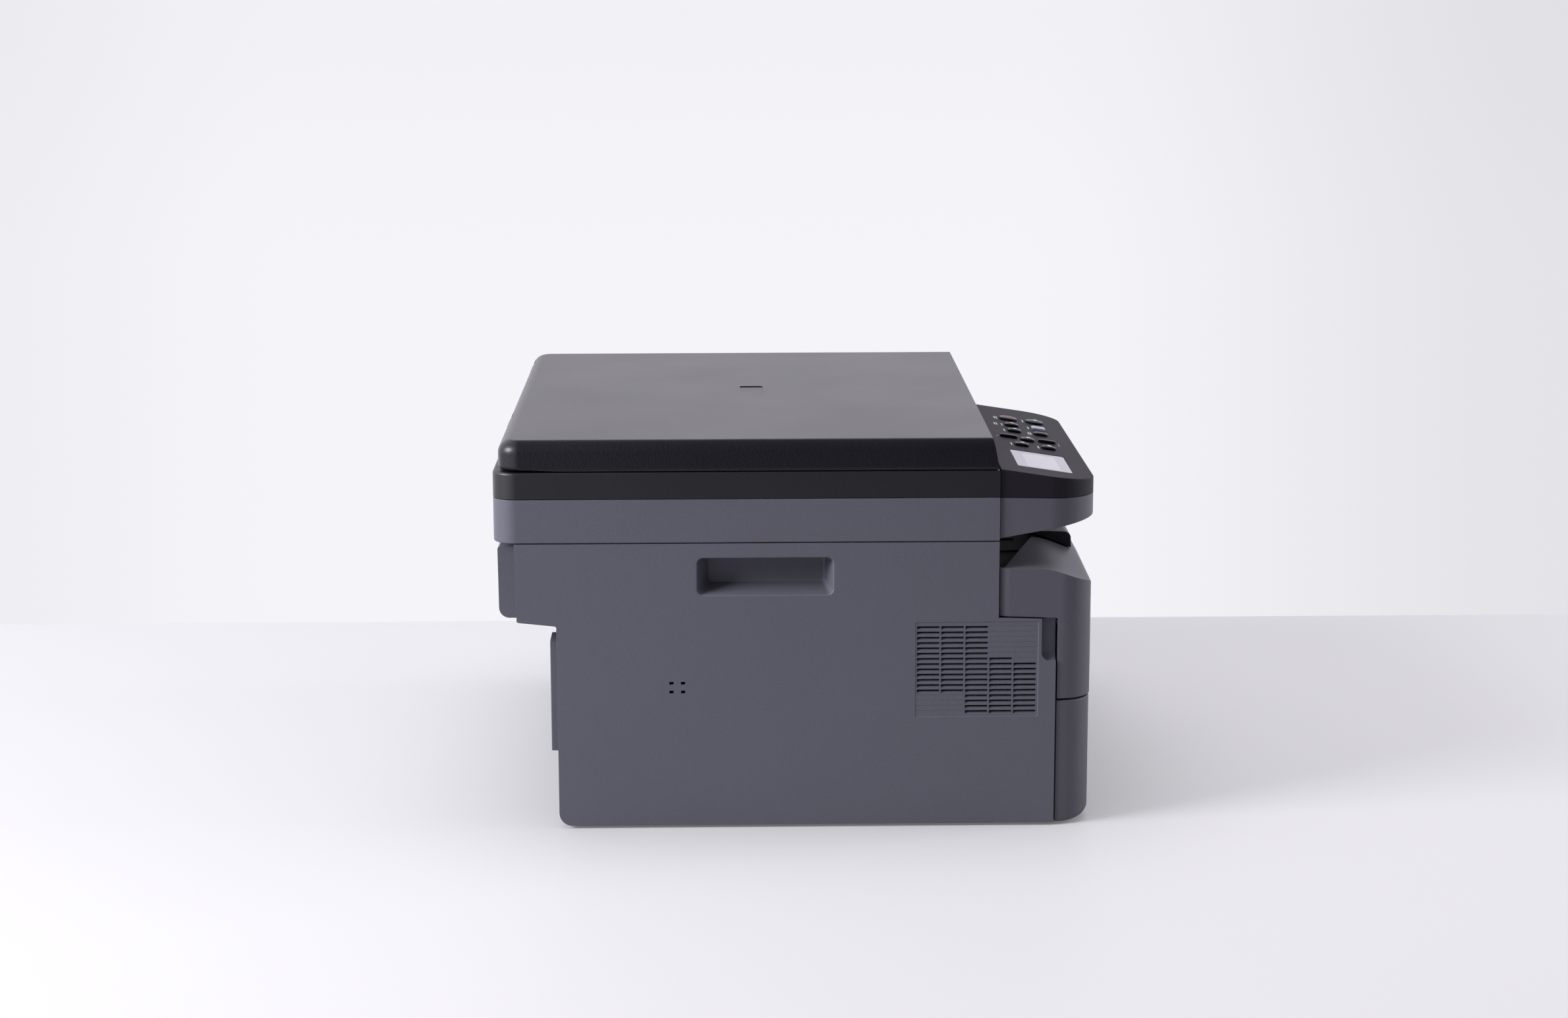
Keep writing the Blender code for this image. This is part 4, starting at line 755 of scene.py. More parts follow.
def side_cover(name, side, columns, field):
    """Moulded side wall, open inwards, with its handle, grille and finger notch."""
    outer = side * HALF_WIDTH
    inner = side * SIDE_INNER
    corners = side_corners()
    cover = plate(name, [rounded(corners)], "YZ", min(outer, inner), max(outer, inner))

    def weigh(a, b):
        if min(abs(a.x), abs(b.x)) < HALF_WIDTH - 0.0001:
            return 0.0
        upright = abs(a.z - b.z) / (a - b).length
        if min(a.y, b.y) > UPPER_REAR - 0.0040:
            return 0.15 + 0.25 * upright
        if min(a.y, b.y) > BODY_REAR - 0.0100:
            return 0.15 + 0.85 * upright
        return 0.15

    round_edges(cover, 0.0060, 8, weigh)
    deep = side * (HALF_WIDTH - WALL)
    past = side * (SIDE_INNER - 0.0100)
    cut(cover, plate("hollow", [rounded(inset(corners, WALL))], "YZ",
                     min(deep, past), max(deep, past)))
    block_x = (side * (HALF_WIDTH - WALL + 0.0006), side * 0.1864)
    fuse(cover,
         box("pocket_block", sorted(block_x), (-0.0285, 0.0681), (0.1575, 0.1880)),
         box("notch_block", sorted((block_x[0], side * 0.1930)),
             (BODY_FRONT + 0.0006, -0.1602), (0.1100, NOTCH_TOP - 0.0020)))
    notch = box("notch", sorted((side * 0.2130, side * 0.1990)),
                (-0.1850, -0.1632), (0.1135, 0.1600))
    soften(notch, 0.0056, 10)
    tools = [handle_pocket("pocket", side), notch]
    if columns:
        tools.append(grille_slots("slots", side, columns))
    if field:
        tools.append(grille_field("field", side))
        tools.append(grille_grooves("grooves", side, columns))
    if side < 0:
        slot = box("small_slot", (-0.2060, -0.2010), (-0.00145, 0.00145), (-0.0010, 0.0010))
        tools.append(repeated("small_slots", soften(slot, 0.0004, 2),
                              [(2, (0.0, 0.0827, 0.0999), (0.0, 0.0, -0.0060)),
                               (2, (0.0, 0.0750, 0.0999), (0.0, 0.0, -0.0060))]))
    cut(cover, *tools)
    return finished(cover, "printer_body", "body_grey", BODY_ABS, [name.replace("_shell", "")])


side_cover("left_side_cover_shell", -1, [(1, 13), (1, 13), (1, 17), (7, 17), (8, 17)], True)
side_cover("right_side_cover_shell", 1, [(3, 13), (3, 13)], False)


# Rear and floor


def rear_panel():
    """Z-shaped rear wall: lower wall, step and upper wall with the fuser window."""
    sheet = 0.0027
    low = BODY_REAR - 0.0003
    high = 0.1840
    points = [
        (low, CASSETTE_BOTTOM), (low, 0.1386), (high, 0.1414), (high, BODY_TOP - 0.0003),
        (high - sheet, BODY_TOP - 0.0003), (high - sheet, 0.1414 + sheet),
        (low - sheet, 0.1386 + sheet), (low - sheet, CASSETTE_BOTTOM),
    ]
    panel = plate("rear_panel_shell", [points], "YZ", -BETWEEN_SIDES, BETWEEN_SIDES)
    soften(panel, 0.0008, 4)
    vent = soften(box("vent", (0.0, 0.0030), (0.1500, 0.1600), (0.0100, 0.0400)), 0.0007, 3)
    cut(panel,
        soften(box("window", (-0.1650, 0.1650), (0.1780, 0.1900), (0.1520, 0.1860)), 0.0010, 3),
        box("inlet_hole", (0.1366, 0.1644), (0.15, 0.17), (0.0176, 0.0404)),
        box("port_hole", (-0.1564, -0.1436), (0.15, 0.17), (0.0196, 0.0314)),
        repeated("vents", vent, [(10, (-0.0360, 0.0, 0.0), (0.0080, 0.0, 0.0))]))
    finished(panel, "printer_body", "body_grey", BODY_ABS, ["rear_panel"])


def rear_lower_cover():
    """Thin cover behind the lower body, with a raised ear at each end."""
    outline = [(-0.1850, 0.0486, 0.001), (0.1850, 0.0486, 0.001), (0.1850, 0.1250, 0.0015),
               (0.1600, 0.1250, 0.0015), (0.1600, 0.1150, 0.0015), (-0.1600, 0.1150, 0.0015),
               (-0.1600, 0.1250, 0.0015), (-0.1850, 0.1250, 0.0015)]
    cover = plate("rear_lower_cover_shell", [rounded(outline, 5)], "XZ", 0.1586, 0.1640)
    soften(cover, 0.0006, 4, 60)
    cut(cover, box("hollow", (-0.1826, 0.1826), (0.1500, 0.1616), (0.0510, 0.1126)))
    finished(cover, "printer_body", "body_grey", BODY_ABS, ["rear_lower_cover"])


def rear_cover():
    """Door over the fuser, with its finger grip in the top edge."""
    corners = [(0.1850, 0.1408, 0.0), (0.1974, 0.1408, 0.0070),
               (0.1978, 0.1895, 0.0020), (0.1850, 0.1895, 0.0)]
    door = plate("rear_cover_shell", [rounded(corners)], "YZ", -BETWEEN_SIDES, BETWEEN_SIDES)

    def weigh(a, b):
        side = abs(a.x - b.x) < 0.0001
        return 1.0 if side and min(a.y, b.y) > 0.1855 else 0.0

    round_edges(door, 0.0030, 8, weigh)
    cut(door, box("hollow", (-0.1828, 0.1828), (0.1800, 0.1953), (0.1434, 0.1868)),
        soften(box("grip", (-0.0300, 0.0300), (0.1960, 0.2), (0.1840, 0.2)), 0.0015, 6))
    finished(door, "rear_cover", "body_grey", BODY_ABS, ["rear_cover"])


rear_panel()
rear_lower_cover()
rear_cover()


def output_tray():
    """Black paper tray under the scanner, low at the rear and rising to the front."""
    half = BETWEEN_SIDES
    floor = [(0.1180, 0.1570), (0.0600, 0.1592), (-0.0200, 0.1652), (-0.1000, 0.1718),
             (-0.1710, 0.1742)]
    tray = box("output_tray_shell", (-0.1996, 0.1996), (-0.1660, 0.1806), (0.1505, 0.1940))
    plan = [(-half, 0.1806), (-half, -0.1354), (-0.1996, -0.1354), (-0.1996, -0.1380),
            (-0.1060, -0.1658), (0.1060, -0.1658), (0.1996, -0.1380), (0.1996, -0.1354),
            (half, -0.1354), (half, 0.1806)]
    keep_inside(tray, plate("plan", [plan], "XY", 0.1, 0.3))
    bowl = floor + [(-0.1710, 0.2500), (0.1215, 0.2500), (0.1215, 0.1610)]
    under = [(y, z - 0.0028) for y, z in floor[:-1]]
    under += [(-0.1620, 0.1708), (-0.1620, 0.1400), (0.1180, 0.1400)]
    cut(tray,
        plate("bowl", [bowl], "YZ", -0.1540, 0.1540),
        box("shoulder", (-0.1834, 0.1834), (-0.1400, 0.1215), (0.1790, 0.2)),
        box("front", (-0.2100, 0.2100), (-0.1800, -0.1350), (0.1742, 0.2)),
        plate("under", [under], "YZ", -0.1512, 0.1512),
        box("front_under", (-0.1800, 0.1800), (-0.1620, -0.1380), (0.14, 0.1714)),
        box("sides_under", (-0.1834, -0.1540), (-0.1300, 0.1800), (0.14, 0.1764)),
        box("right_under", (0.1540, 0.1834), (-0.1300, 0.1800), (0.14, 0.1764)),
        box("rear_under", (-0.1834, 0.1834), (0.1245, 0.2), (0.14, 0.1912)),
        box("exit_slot", (-0.1300, 0.1300), (0.1180, 0.1300), (0.1680, 0.1880)))
    line = floor[:-1] + [(-0.1540, 0.1736)]
    raised = [(y, z + 0.0007) for y, z in line] + [(y, z - 0.0010) for y, z in line[::-1]]
    fuse(tray, *[plate("rib", [raised], "YZ", x - 0.0007, x + 0.0007)
                 for x in (-0.1350, -0.0950, -0.0450, 0.0450, 0.0950, 0.1350)])
    finished(tray, "printer_body", "inner_black", TRAY_HIPS, ["output_tray"])


output_tray()


# Scanner


def scanner_plan(margin=0.0):
    corners = [(-HALF_WIDTH, SCANNER_FRONT, 0.0), (HALF_WIDTH, SCANNER_FRONT, 0.0),
               (HALF_WIDTH, SCANNER_REAR, SCANNER_CORNER),
               (-HALF_WIDTH, SCANNER_REAR, SCANNER_CORNER)]
    return rounded(inset(corners, margin) if margin else corners, 20)


def scanner_housing():
    housing = plate("scanner_housing_shell", [scanner_plan()], "XY", HOUSING_BOTTOM, HOUSING_TOP)

    def weigh(a, b):
        if max(a.z, b.z) < HOUSING_BOTTOM + 0.0001:
            return 1.0
        return 0.35 if min(a.z, b.z) > HOUSING_TOP - 0.0001 else 0.0

    round_edges(housing, 0.0009, 4, weigh)
    cut(housing, plate("hollow", [scanner_plan(WALL)], "XY",
                       HOUSING_BOTTOM + WALL, HOUSING_TOP + 0.01))
    finished(housing, "printer_body", "body_grey", BODY_ABS, ["scanner_housing"])


def scanner_top_frame():
    """Black rim that holds the glass in a rebate."""
    rim = plate("scanner_rim_shell", [scanner_plan()], "XY", RIM_BOTTOM, RIM_TOP)

    def weigh(a, b):
        if max(a.z, b.z) < RIM_BOTTOM + 0.0001:
            return 0.15
        top = min(a.z, b.z) > RIM_TOP - 0.0001
        rear = min(a.y, b.y) > SCANNER_REAR - 0.0170
        return (1.0 if rear else 0.3) if top else 0.0

    round_edges(rim, 0.0020, 6, weigh)
    cut(rim,
        plate("hollow", [scanner_plan(WALL)], "XY", RIM_BOTTOM - 0.01, 0.2370),
        box("aperture", (-0.1510, 0.1510), (-0.0990, 0.1230), (0.2, 0.3)),
        box("rebate", (-GLASS_HALF - GAP, GLASS_HALF + GAP),
            (GLASS_FRONT - GAP, GLASS_REAR + GAP), (0.2394, 0.3)))
    finished(rim, "printer_body", "rim_black", RIM_HIPS, ["scanner_top_frame"])


def lid():
    """Hollow moulded lid with soft sides, two hinge places and a pad in its underside."""
    corners = [(-LID_HALF, LID_FRONT, 0.0), (LID_HALF, LID_FRONT, 0.0),
               (LID_HALF, LID_REAR, 0.0140), (-LID_HALF, LID_REAR, 0.0140)]
    cover = plate("lid_shell", [rounded(corners)], "XY", LID_BOTTOM, LID_TOP)
    for vert in cover.data.vertices:
        if vert.co.y < LID_FRONT + 0.001 and vert.co.z > LID_TOP - 0.0001:
            vert.co.y += LID_LEAN

    def weigh(a, b):
        front = max(a.y, b.y) < LID_FRONT + LID_LEAN + 0.0005
        rear = min(a.y, b.y) > LID_REAR - 0.0150
        if min(a.z, b.z) > LID_TOP - 0.0001:
            return 0.07 if front else 1.0
        if max(a.z, b.z) > LID_BOTTOM + 0.0001:
            return 0.0
        return 0.42 if rear else 0.07

    round_edges(cover, 0.0090, 12, weigh)
    wall = 0.0030
    inner = rounded(inset(corners, wall + LID_LEAN))
    cut(cover,
        plate("hollow", [inner], "XY", LID_PANEL + 0.0020, LID_TOP - wall),
        plate("pad_recess", [inner], "XY", 0.2, LID_PANEL))
    for x in HINGES.values():
        reach = HINGE_HALF + GAP
        cut(cover,
            box("hinge_notch", (x - reach, x + reach), (LID_AXIS_Y - 0.0110, 0.21), (0.2, 0.2598)),
            rod("pin_bore", 0.0018, (x - 0.0220, LID_AXIS_Y, LID_AXIS_Z), 0.0440))
    recess = plate("plate_recess", [rectangle((-0.0155, 0.0275), (0.0190, 0.0355), 0.0015, 6)],
                   "XY", LID_TOP - 0.0006, LID_TOP + 0.01)
    cut(cover, recess)
    finished(cover, "lid", "lid_grey", LID_HIPS, ["lid"])


scanner_housing()
scanner_top_frame()
lid()


# Control panel


def panel_corners():
    return [(PANEL_LEFT, PANEL_REAR, 0.0), (PANEL_LEFT, PANEL_FRONT, 0.0320),
            (PANEL_RIGHT, PANEL_FRONT, 0.0260), (PANEL_RIGHT, PANEL_REAR, 0.0)]


def panel_plan(name, margin=0.0):
    corners = inset(panel_corners(), margin) if margin else panel_corners()
    return plate(name, [rounded(corners, 24)], "XY", 0.15, 0.30)


def on_panel(obj):
    """Tilt a piece drawn flat, x along X and y back from the slope's top, onto the panel."""
    place = Matrix.Translation((0.0, PANEL_REAR, PANEL_REAR_TOP))
    obj.data.transform(place @ Matrix.Rotation(PANEL_TILT, 4, "X"))
    return obj


def panel_field(x, down, width, height, corner, steps=8):
    return rectangle((x - width / 2, x + width / 2), (-down - height / 2, -down + height / 2),
                     corner, steps)


def panel_section(name, drop, margin):
    """Wedge between the panel's foot and its sloping top, lowered by a skin thickness."""
    rear = PANEL_REAR + 0.02
    front = PANEL_FRONT - 0.02
    slope = math.tan(PANEL_TILT)
    points = [(rear, RIM_BOTTOM - margin), (rear, PANEL_REAR_TOP + 0.02 * slope - drop),
              (front, PANEL_REAR_TOP - (PANEL_REAR - front) * slope - drop),
              (front, RIM_BOTTOM - PANEL_DIP - margin)]
    return plate(name, [points], "YZ", PANEL_LEFT - 0.01, PANEL_RIGHT + 0.01)


def height_over_panel(point):
    return (point.z - PANEL_REAR_TOP - (point.y - PANEL_REAR) * math.tan(PANEL_TILT))


def control_panel():
    panel = panel_plan("control_panel_shell")
    keep_inside(panel, panel_section("wedge", 0.0, 0.0))

    def weigh(a, b):
        on_top = abs(height_over_panel(a)) < 0.0001 and abs(height_over_panel(b)) < 0.0001
        return 1.0 if on_top else 0.0

    round_edges(panel, 0.0007, 4, weigh)
    hollow = panel_plan("hollow", PANEL_SKIN)
    keep_inside(hollow, panel_section("hollow_wedge", PANEL_SKIN, 0.02))
    clearance = 0.0006
    loops = [panel_field(x, down, width + clearance, height + clearance, corner + 0.0003)
             for x, down, width, height, corner in KEYS.values()]
    x, down, width, height = DISPLAY
    loops.append(panel_field(x, down, width + clearance, height + clearance, 0.0023))
    cut(panel, hollow, on_panel(plate("holes", loops, "XY", -0.0040, 0.0040)))
    finished(panel, "printer_body", "panel_grey", PANEL_ABS, ["control_panel"])


def display():
    """Pane with a grey border and the pale field of the cells in it."""
    x, down, width, height = DISPLAY
    outside = panel_field(x, down, width, height, 0.0020)
    field = rectangle((x - 0.0262, x + 0.0248), (-down - 0.0112, -down + 0.0112), 0.0008, 4)
    pane = plate("display_border", [outside, field], "XY", -0.0020, -0.0002)
    finished(on_panel(pane), "printer_body", "display", PANE_EDGE, ["display_window"])
    cells = plate("display_cells", [field], "XY", -0.0020, -0.00024)
    finished(on_panel(cells), "printer_body", "display", PANE_INNER)


def keys():
    # The wireless key's pale cap carries a painted glow, not light from a lamp.
    coats = {"stop_key": ("stop_red", STOP_ABS), "start_key": ("start_green", START_ABS),
             "wireless_key": ("lit_key", GLOW_PAINTED_CAP)}
    for name, (x, down, width, height, corner) in KEYS.items():
        reach = min(width, height) * 0.44
        crown = min(0.20 * reach, 0.0007)
        sections = [[(u, v, -KEY_DEEP) for u, v in panel_field(x, down, width, height, corner, 6)]]
        for step in range(13):
            t = step / 12
            margin = reach * t
            top = KEY_TOP - crown * (1 - t) ** 2.4
            field = panel_field(x, down, width - 2 * margin, height - 2 * margin,
                                max(corner - margin, 0.0002), 6)
            sections.append([(u, v, top) for u, v in field])
        slot, material = coats.get(name, ("key_black", KEY_ABS))
        body = frame["nodes"][name]["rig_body"]
        cap = loft(name + "_cap", sections)
        finished(on_panel(cap), body, slot, material, [name], 34)
        if name in ("menu_key", "clear_key", "ok_key", "back_key", "options_key", "start_key"):
            mark = box(name + "_mark", (x - 0.0018, x + 0.0024), (-down - 0.0016, -down + 0.0010),
                       (KEY_TOP - 0.0003, KEY_TOP + 0.00016))
            finished(on_panel(mark), body, "display", PRINT)


def panel_marks():
    """Bare dashes printed beside the keys where their captions go, and one dark arc."""
    rows = []
    for name, offset, lines in (("stop_key", 0.0022, 2), ("menu_key", 0.0022, 1),
                                ("menu_key", 0.0060, 2), ("clear_key", 0.0024, 1),
                                ("back_key", 0.0024, 1), ("start_key", 0.0024, 1),
                                ("wireless_key", 0.0022, 1), ("copy_key", 0.0022, 2),
                                ("options_key", 0.0022, 1)):
        x, down, width, height, corner = KEYS[name]
        for line in range(lines):
            y = -down + height / 2 + offset + line * 0.0016
            for start, end in ((-0.0042, -0.0014), (-0.0006, 0.0028), (0.0034, 0.0050)):
                rows.append(((x + start, x + end), (y - 0.0005, y + 0.0005), (0.0, 0.00004)))
    for x, down in ((-0.0640, 0.0098), (-0.0645, 0.0533), (-0.0720, 0.0530)):
        rows.append(((x - 0.0008, x + 0.0008), (-down - 0.0005, -down + 0.0005), (0.0, 0.00004)))
    finished(on_panel(boxes("panel_marks", rows)), "printer_body", "display", PRINT)
    x, down = KEYS["stop_key"][:2]
    arc = []
    for radius in (0.0128, 0.0133):
        side = [(x + radius * math.cos(math.radians(a)), -down + radius * math.sin(math.radians(a)))
                for a in range(-62, -6, 4)]
        arc += side if radius < 0.013 else side[::-1]
    curve = plate("panel_arc", [arc], "XY", 0.0, 0.00004)
    finished(on_panel(curve), "printer_body", "key_black", KEY_ABS)


def panel_lower_cover():
    """Curved grey underside of the overhang, with posts for the board."""
    low = 0.1968
    corners = [(PANEL_REAR + 0.02, low - 0.0036, 0.0), (-0.1985, 0.2080, 0.0080),
               (PANEL_FRONT - 0.02, HOUSING_TOP - PANEL_DIP, 0.0),
               (PANEL_REAR + 0.02, HOUSING_TOP, 0.0)]
    reach = (PANEL_LEFT - 0.01, PANEL_RIGHT + 0.01)
    cover = panel_plan("panel_underside_shell")
    keep_inside(cover, plate("section", [rounded(corners)], "YZ", *reach))
    hollow = panel_plan("hollow", WALL)
    inner = [(u, v + (WALL if v < 0.22 else 0.02), r) for u, v, r in corners]
    keep_inside(hollow, plate("hollow_section", [rounded(inner)], "YZ", *reach))
    cut(cover, hollow)
    posts = []
    for x, y, top in ((-0.1700, -0.1500, 0.2332), (-0.1700, -0.1850, 0.2278),
                      (0.0300, -0.1500, 0.2332), (0.0300, -0.1850, 0.2278)):
        foot = 0.1990 + (PANEL_REAR - y) * 0.18
        posts.append(rod("post", 0.0025, (x, y, foot), top - foot - 0.0020, "Z"))
    fuse(cover, *posts)
    finished(cover, "printer_body", "body_grey", FRONT_ABS, ["panel_lower_cover"])


control_panel()
display()
keys()
panel_marks()
panel_lower_cover()


# Front cover


def eased(points, steps=4):
    """Smooth line through the points, the ends kept."""
    line = []
    for index in range(len(points) - 1):
        before = Vector(points[max(index - 1, 0)])
        here, there = Vector(points[index]), Vector(points[index + 1])
        after = Vector(points[min(index + 2, len(points) - 1)])
        for step in range(steps):
            t = step / steps
            line.append(tuple(0.5 * (2 * here + (there - before) * t
                                     + (2 * before - 5 * here + 4 * there - after) * t ** 2
                                     + (3 * here - before - 3 * there + after) * t ** 3)))
    return line + [tuple(points[-1])]


def shoulder(crown):
    """Outline of the front cover in (y, z): face, sloping shoulder and plateau."""
    slope = eased([
        (COVER_FRONT, 0.1616 + crown), (COVER_FRONT + 0.0006, 0.1632 + crown),
        (-0.1954, 0.1650 + crown), (-0.1912, 0.1670 + crown), (-0.1840, 0.1700 + crown),
        (-0.1770, 0.1727 + crown), (-0.1700, 0.1747 + crown), (-0.1620, 0.1758 + crown),
        (-0.1500, 0.1762 + crown), (COVER_REAR, 0.1762 + crown)])
    return [(COVER_REAR, COVER_BOTTOM), (COVER_FRONT + 0.0004, COVER_BOTTOM)] + slope


def shoulder_loft(name, drop, spread):
    rise = []
    for step in range(13):
        t = step / 12
        rise.append((spread + (FLAP_HALF - 0.012 - spread) * t, COVER_CROWN * t))
    stations = [(-x, crown) for x, crown in rise] + rise[::-1]
    sections = []
    for x, crown in stations:
        sections.append([(x, y, z - (drop if z > 0.12 else 0.0)) for y, z in shoulder(crown)])
    return loft(name, sections)


def front_cover():
    """Wrap-round front cover with its shoulder, open at the rear, and the manual slot."""
    cover = shoulder_loft("front_cover_shell", 0.0, COVER_HALF + 0.001)
    corners = [(-COVER_HALF, COVER_FRONT, COVER_CORNER), (COVER_HALF, COVER_FRONT, COVER_CORNER)]
    curl = [(COVER_HALF - 0.0016 * (i / 8) ** 2, COVER_REAR - 0.0075 * (1 - i / 8), 0.0)
            for i in range(9)] + [(COVER_HALF - 0.0020, -0.1200, 0.0)]
    corners += curl + [(-x, y, 0.0) for x, y, _ in curl[::-1]]
    keep_inside(cover, plate("plan", [rounded(corners, 20)], "XY", 0.05, 0.25))
    soften(cover, 0.0009, 4, 50)
    wall = 0.0030
    hollow = shoulder_loft("hollow", wall, COVER_HALF - wall)
    inner = [(-COVER_HALF + wall, -0.1100, 0.0),
             (-COVER_HALF + wall, COVER_FRONT + wall, COVER_CORNER - wall),
             (COVER_HALF - wall, COVER_FRONT + wall, COVER_CORNER - wall),
             (COVER_HALF - wall, -0.1100, 0.0)]
    keep_inside(hollow, plate("hollow_plan", [rounded(inner, 20)], "XY", 0.0904, 0.25))
    mouth = [(-0.2005, -0.1384), (-0.1060, -0.1664), (0.1060, -0.1664), (0.2005, -0.1384),
             (0.2005, -0.1100), (-0.2005, -0.1100)]
    step = [(COVER_SEAM, 0.0500, 0.0), (-0.1000, 0.0500, 0.0), (-0.1000, COVER_STEP_REAR, 0.0),
            (COVER_SEAM, COVER_STEP_FRONT, 0.0018)]
    cut(cover,
        hollow,
        plate("step", [rounded(step, 8)], "YZ", -0.21, 0.21),
        box("back", (-0.2005, 0.2005), (-0.1500, -0.10), (0.05, 0.1735)),
        plate("mouth", [mouth], "XY", 0.1500, 0.2000),
        box("manual_slot", (-SLOT_HALF - GAP, SLOT_HALF + GAP), (-0.2100, -0.1900),
            (SLOT_LOW, SLOT_HIGH)))

    def weigh(a, b):
        if min(abs(a.x), abs(b.x)) < COVER_HALF - 0.00005 or a.x * b.x < 0:
            return 0.0
        if max(a.y, b.y) < COVER_SEAM + 0.0001 and abs(a.z - b.z) > 0.001:
            return 1.0 if max(a.z, b.z) < 0.1500 else 0.0
        on_step = min(a.z, b.z) > 0.1420 and max(a.z, b.z) < 0.1446
        return 1.0 if on_step and min(a.y, b.y) > COVER_SEAM - 0.0001 else 0.0

    round_edges(cover, 0.0007, 4, weigh)
    finished(cover, "front_cover", "front_grey", FRONT_ABS, ["front_cover"])


def manual_feed_cover():
    flap = box("manual_feed_flap", (-SLOT_HALF, SLOT_HALF), (-0.1976, -0.1952),
               (SLOT_LOW + 0.0010, SLOT_HIGH - 0.0006))
    soften(flap, 0.0004, 3)
    fuse(flap, soften(box("grip", (-0.0200, 0.0200), (-0.1956, -0.1930),
                          (0.1120, 0.1150)), 0.0005, 4))
    finished(flap, "manual_feed_cover", "front_grey", FRONT_ABS, ["manual_feed_cover"])


def support_flap():
    """Black flap on the shoulder: flat top, rounded front edge, thin rear edge."""
    front = -0.1926
    lift = COVER_CROWN + 0.0006
    corners = [
        (front, 0.1664 + lift, 0.0), (front + 0.0004, 0.1816, 0.0045), (-0.1690, 0.1822, 0.0006),
        (-0.1672, 0.1816, 0.0), (-0.1672, 0.1756 + lift + 0.0004, 0.0),
        (-0.1700, 0.1752 + lift, 0.0), (-0.1770, 0.1729 + lift, 0.0),
        (-0.1840, 0.1700 + lift, 0.0),
    ]
    flap = plate("support_flap_shell", [rounded(corners)], "YZ", -FLAP_HALF, FLAP_HALF)
    soften(flap, 0.0004, 3, 60)
    finished(flap, "paper_support_flap", "key_black", RIM_HIPS, ["paper_support_flap"])


def cassette_front():
    corners = [(-COVER_HALF, CASSETTE_SEAM, 0.0), (-COVER_HALF, CASSETTE_FRONT, 0.0215),
               (COVER_HALF, CASSETTE_FRONT, 0.0215), (COVER_HALF, CASSETTE_SEAM, 0.0)]
    face = plate("cassette_front_shell", [rounded(corners, 20)], "XY",
                 CASSETTE_BOTTOM, CASSETTE_TOP - 0.0006)

    def weigh(a, b):
        outside = min(a.y, b.y) < CASSETTE_SEAM - 0.0001
        level = abs(a.z - b.z) < 0.0001
        if not outside and not level:
            return 0.09
        if not (outside and level):
            return 0.0
        if min(a.z, b.z) > CASSETTE_BOTTOM + 0.0001:
            return 0.10
        facing_front = abs(a.x - b.x) / (a - b).length
        return 0.08 + 0.92 * facing_front ** 2

    round_edges(face, 0.0090, 10, weigh)
    cut(face, box("hollow", (-0.1790, 0.1790), (-0.1943, -0.1600), (0.0120, 0.0835)))
    fuse(face, box("grip_block", (-0.0560, 0.0560), (-0.1946, -0.1790), (0.0340, 0.0660)))
    pocket = [(-0.2100, 0.0400, 0.0), (-0.1850, 0.0440, 0.003), (-0.1820, 0.0630, 0.003),
              (-0.1900, 0.0630, 0.0), (-0.1930, 0.0600, 0.0), (-0.2100, 0.0590, 0.0)]
    grip = plate("grip_pocket", [rounded(pocket)], "YZ", -0.0500, 0.0500)
    cut(face, soften(grip, 0.0012, 5, 60))
    finished(face, "cassette", "front_grey", FRONT_ABS, ["cassette_front"])


front_cover()
manual_feed_cover()
support_flap()
cassette_front()


# Inner pieces

# Soft polyurethane foam behind the white pressing sheet: dull, with open pores.
FOAM = moulded("pu_foam_lid_pad", "CFCFCB", 0.85, 1.1, 0.060, ior=1.4)
# Enamelled copper wire of the transformer's winding: close bright turns.
WINDING = metal("enamelled_copper_winding", "B4623A", 0.34, (2500, 60, 2500))
# Shrunk sleeve of the electrolytic capacitors: dark and a little glossy.
SLEEVE_PVC = moulded("pvc_capacitor_sleeve", "20232E", 0.28, 1.6, 0.004)

FACING = {
    "up": Matrix.Identity(4), "down": Matrix.Rotation(math.pi, 4, "X"),
    "rear": Matrix.Rotation(-math.pi / 2, 4, "X"), "right": Matrix.Rotation(math.pi / 2, 4, "Y"),
}
ENGINE_WALL = BETWEEN_SIDES - 0.0040
DECK = 0.0900
FRAME_TOP = 0.1501
BOARD_SIDE = BETWEEN_SIDES + GAP
FAN = (-0.1215, 0.1085)
ROD_LINE = (0.0120, 0.2052)
DRUM_LINE = (0.0000, 0.1222)
HEAT_LINE = (0.1120, 0.1302)
PRESSURE_LINE = (0.1120, 0.1078)


def joined(name, pieces):
    """Closed pieces of one material as one object."""
    bm = bmesh.new()
    for piece in pieces:
        bm.from_mesh(piece.data)
        bpy.data.objects.remove(piece, do_unlink=True)
    return add_solid(name, bm)


def circle(centre, radius, steps=48):
    return [(centre[0] + radius * math.cos(2 * math.pi * i / steps),
             centre[1] + radius * math.sin(2 * math.pi * i / steps)) for i in range(steps)]


def turned(name, profile, centre, sides=64, ring=False):
    """Piece turned about a line along X through (y, z), from (x, radius) points. A ring has
    its last point joined to its first."""
    bm = bmesh.new()
    loops = [[bm.verts.new((x, *point)) for point in circle(centre, radius, sides)]
             for x, radius in profile]
    pairs = list(zip(loops, loops[1:]))
    if ring:
        pairs.append((loops[-1], loops[0]))
    else:
        bm.faces.new(loops[0])
        bm.faces.new(loops[-1])
    for here, there in pairs:
        for i in range(sides):
            j = (i + 1) % sides
            bm.faces.new((here[i], here[j], there[j], there[i]))
    return add_solid(name, bm)


def tyre(name, start, end, outer, inner, centre, edge=0.0005):
    """Sleeve on a shaft, with rounded edges."""
    profile = [(start, inner), (start, outer - edge), (start + 0.3 * edge, outer - 0.3 * edge),
               (start + edge, outer), (end - edge, outer), (end - 0.3 * edge, outer - 0.3 * edge),
               (end, outer - edge), (end, inner)]
    return turned(name, profile, centre, ring=True)


def shaft(name, half, radius, centre):
    edge = 0.0004
    return turned(name, [(-half, radius - edge), (-half + edge, radius),
                         (half - edge, radius), (half, radius - edge)], centre, 32)


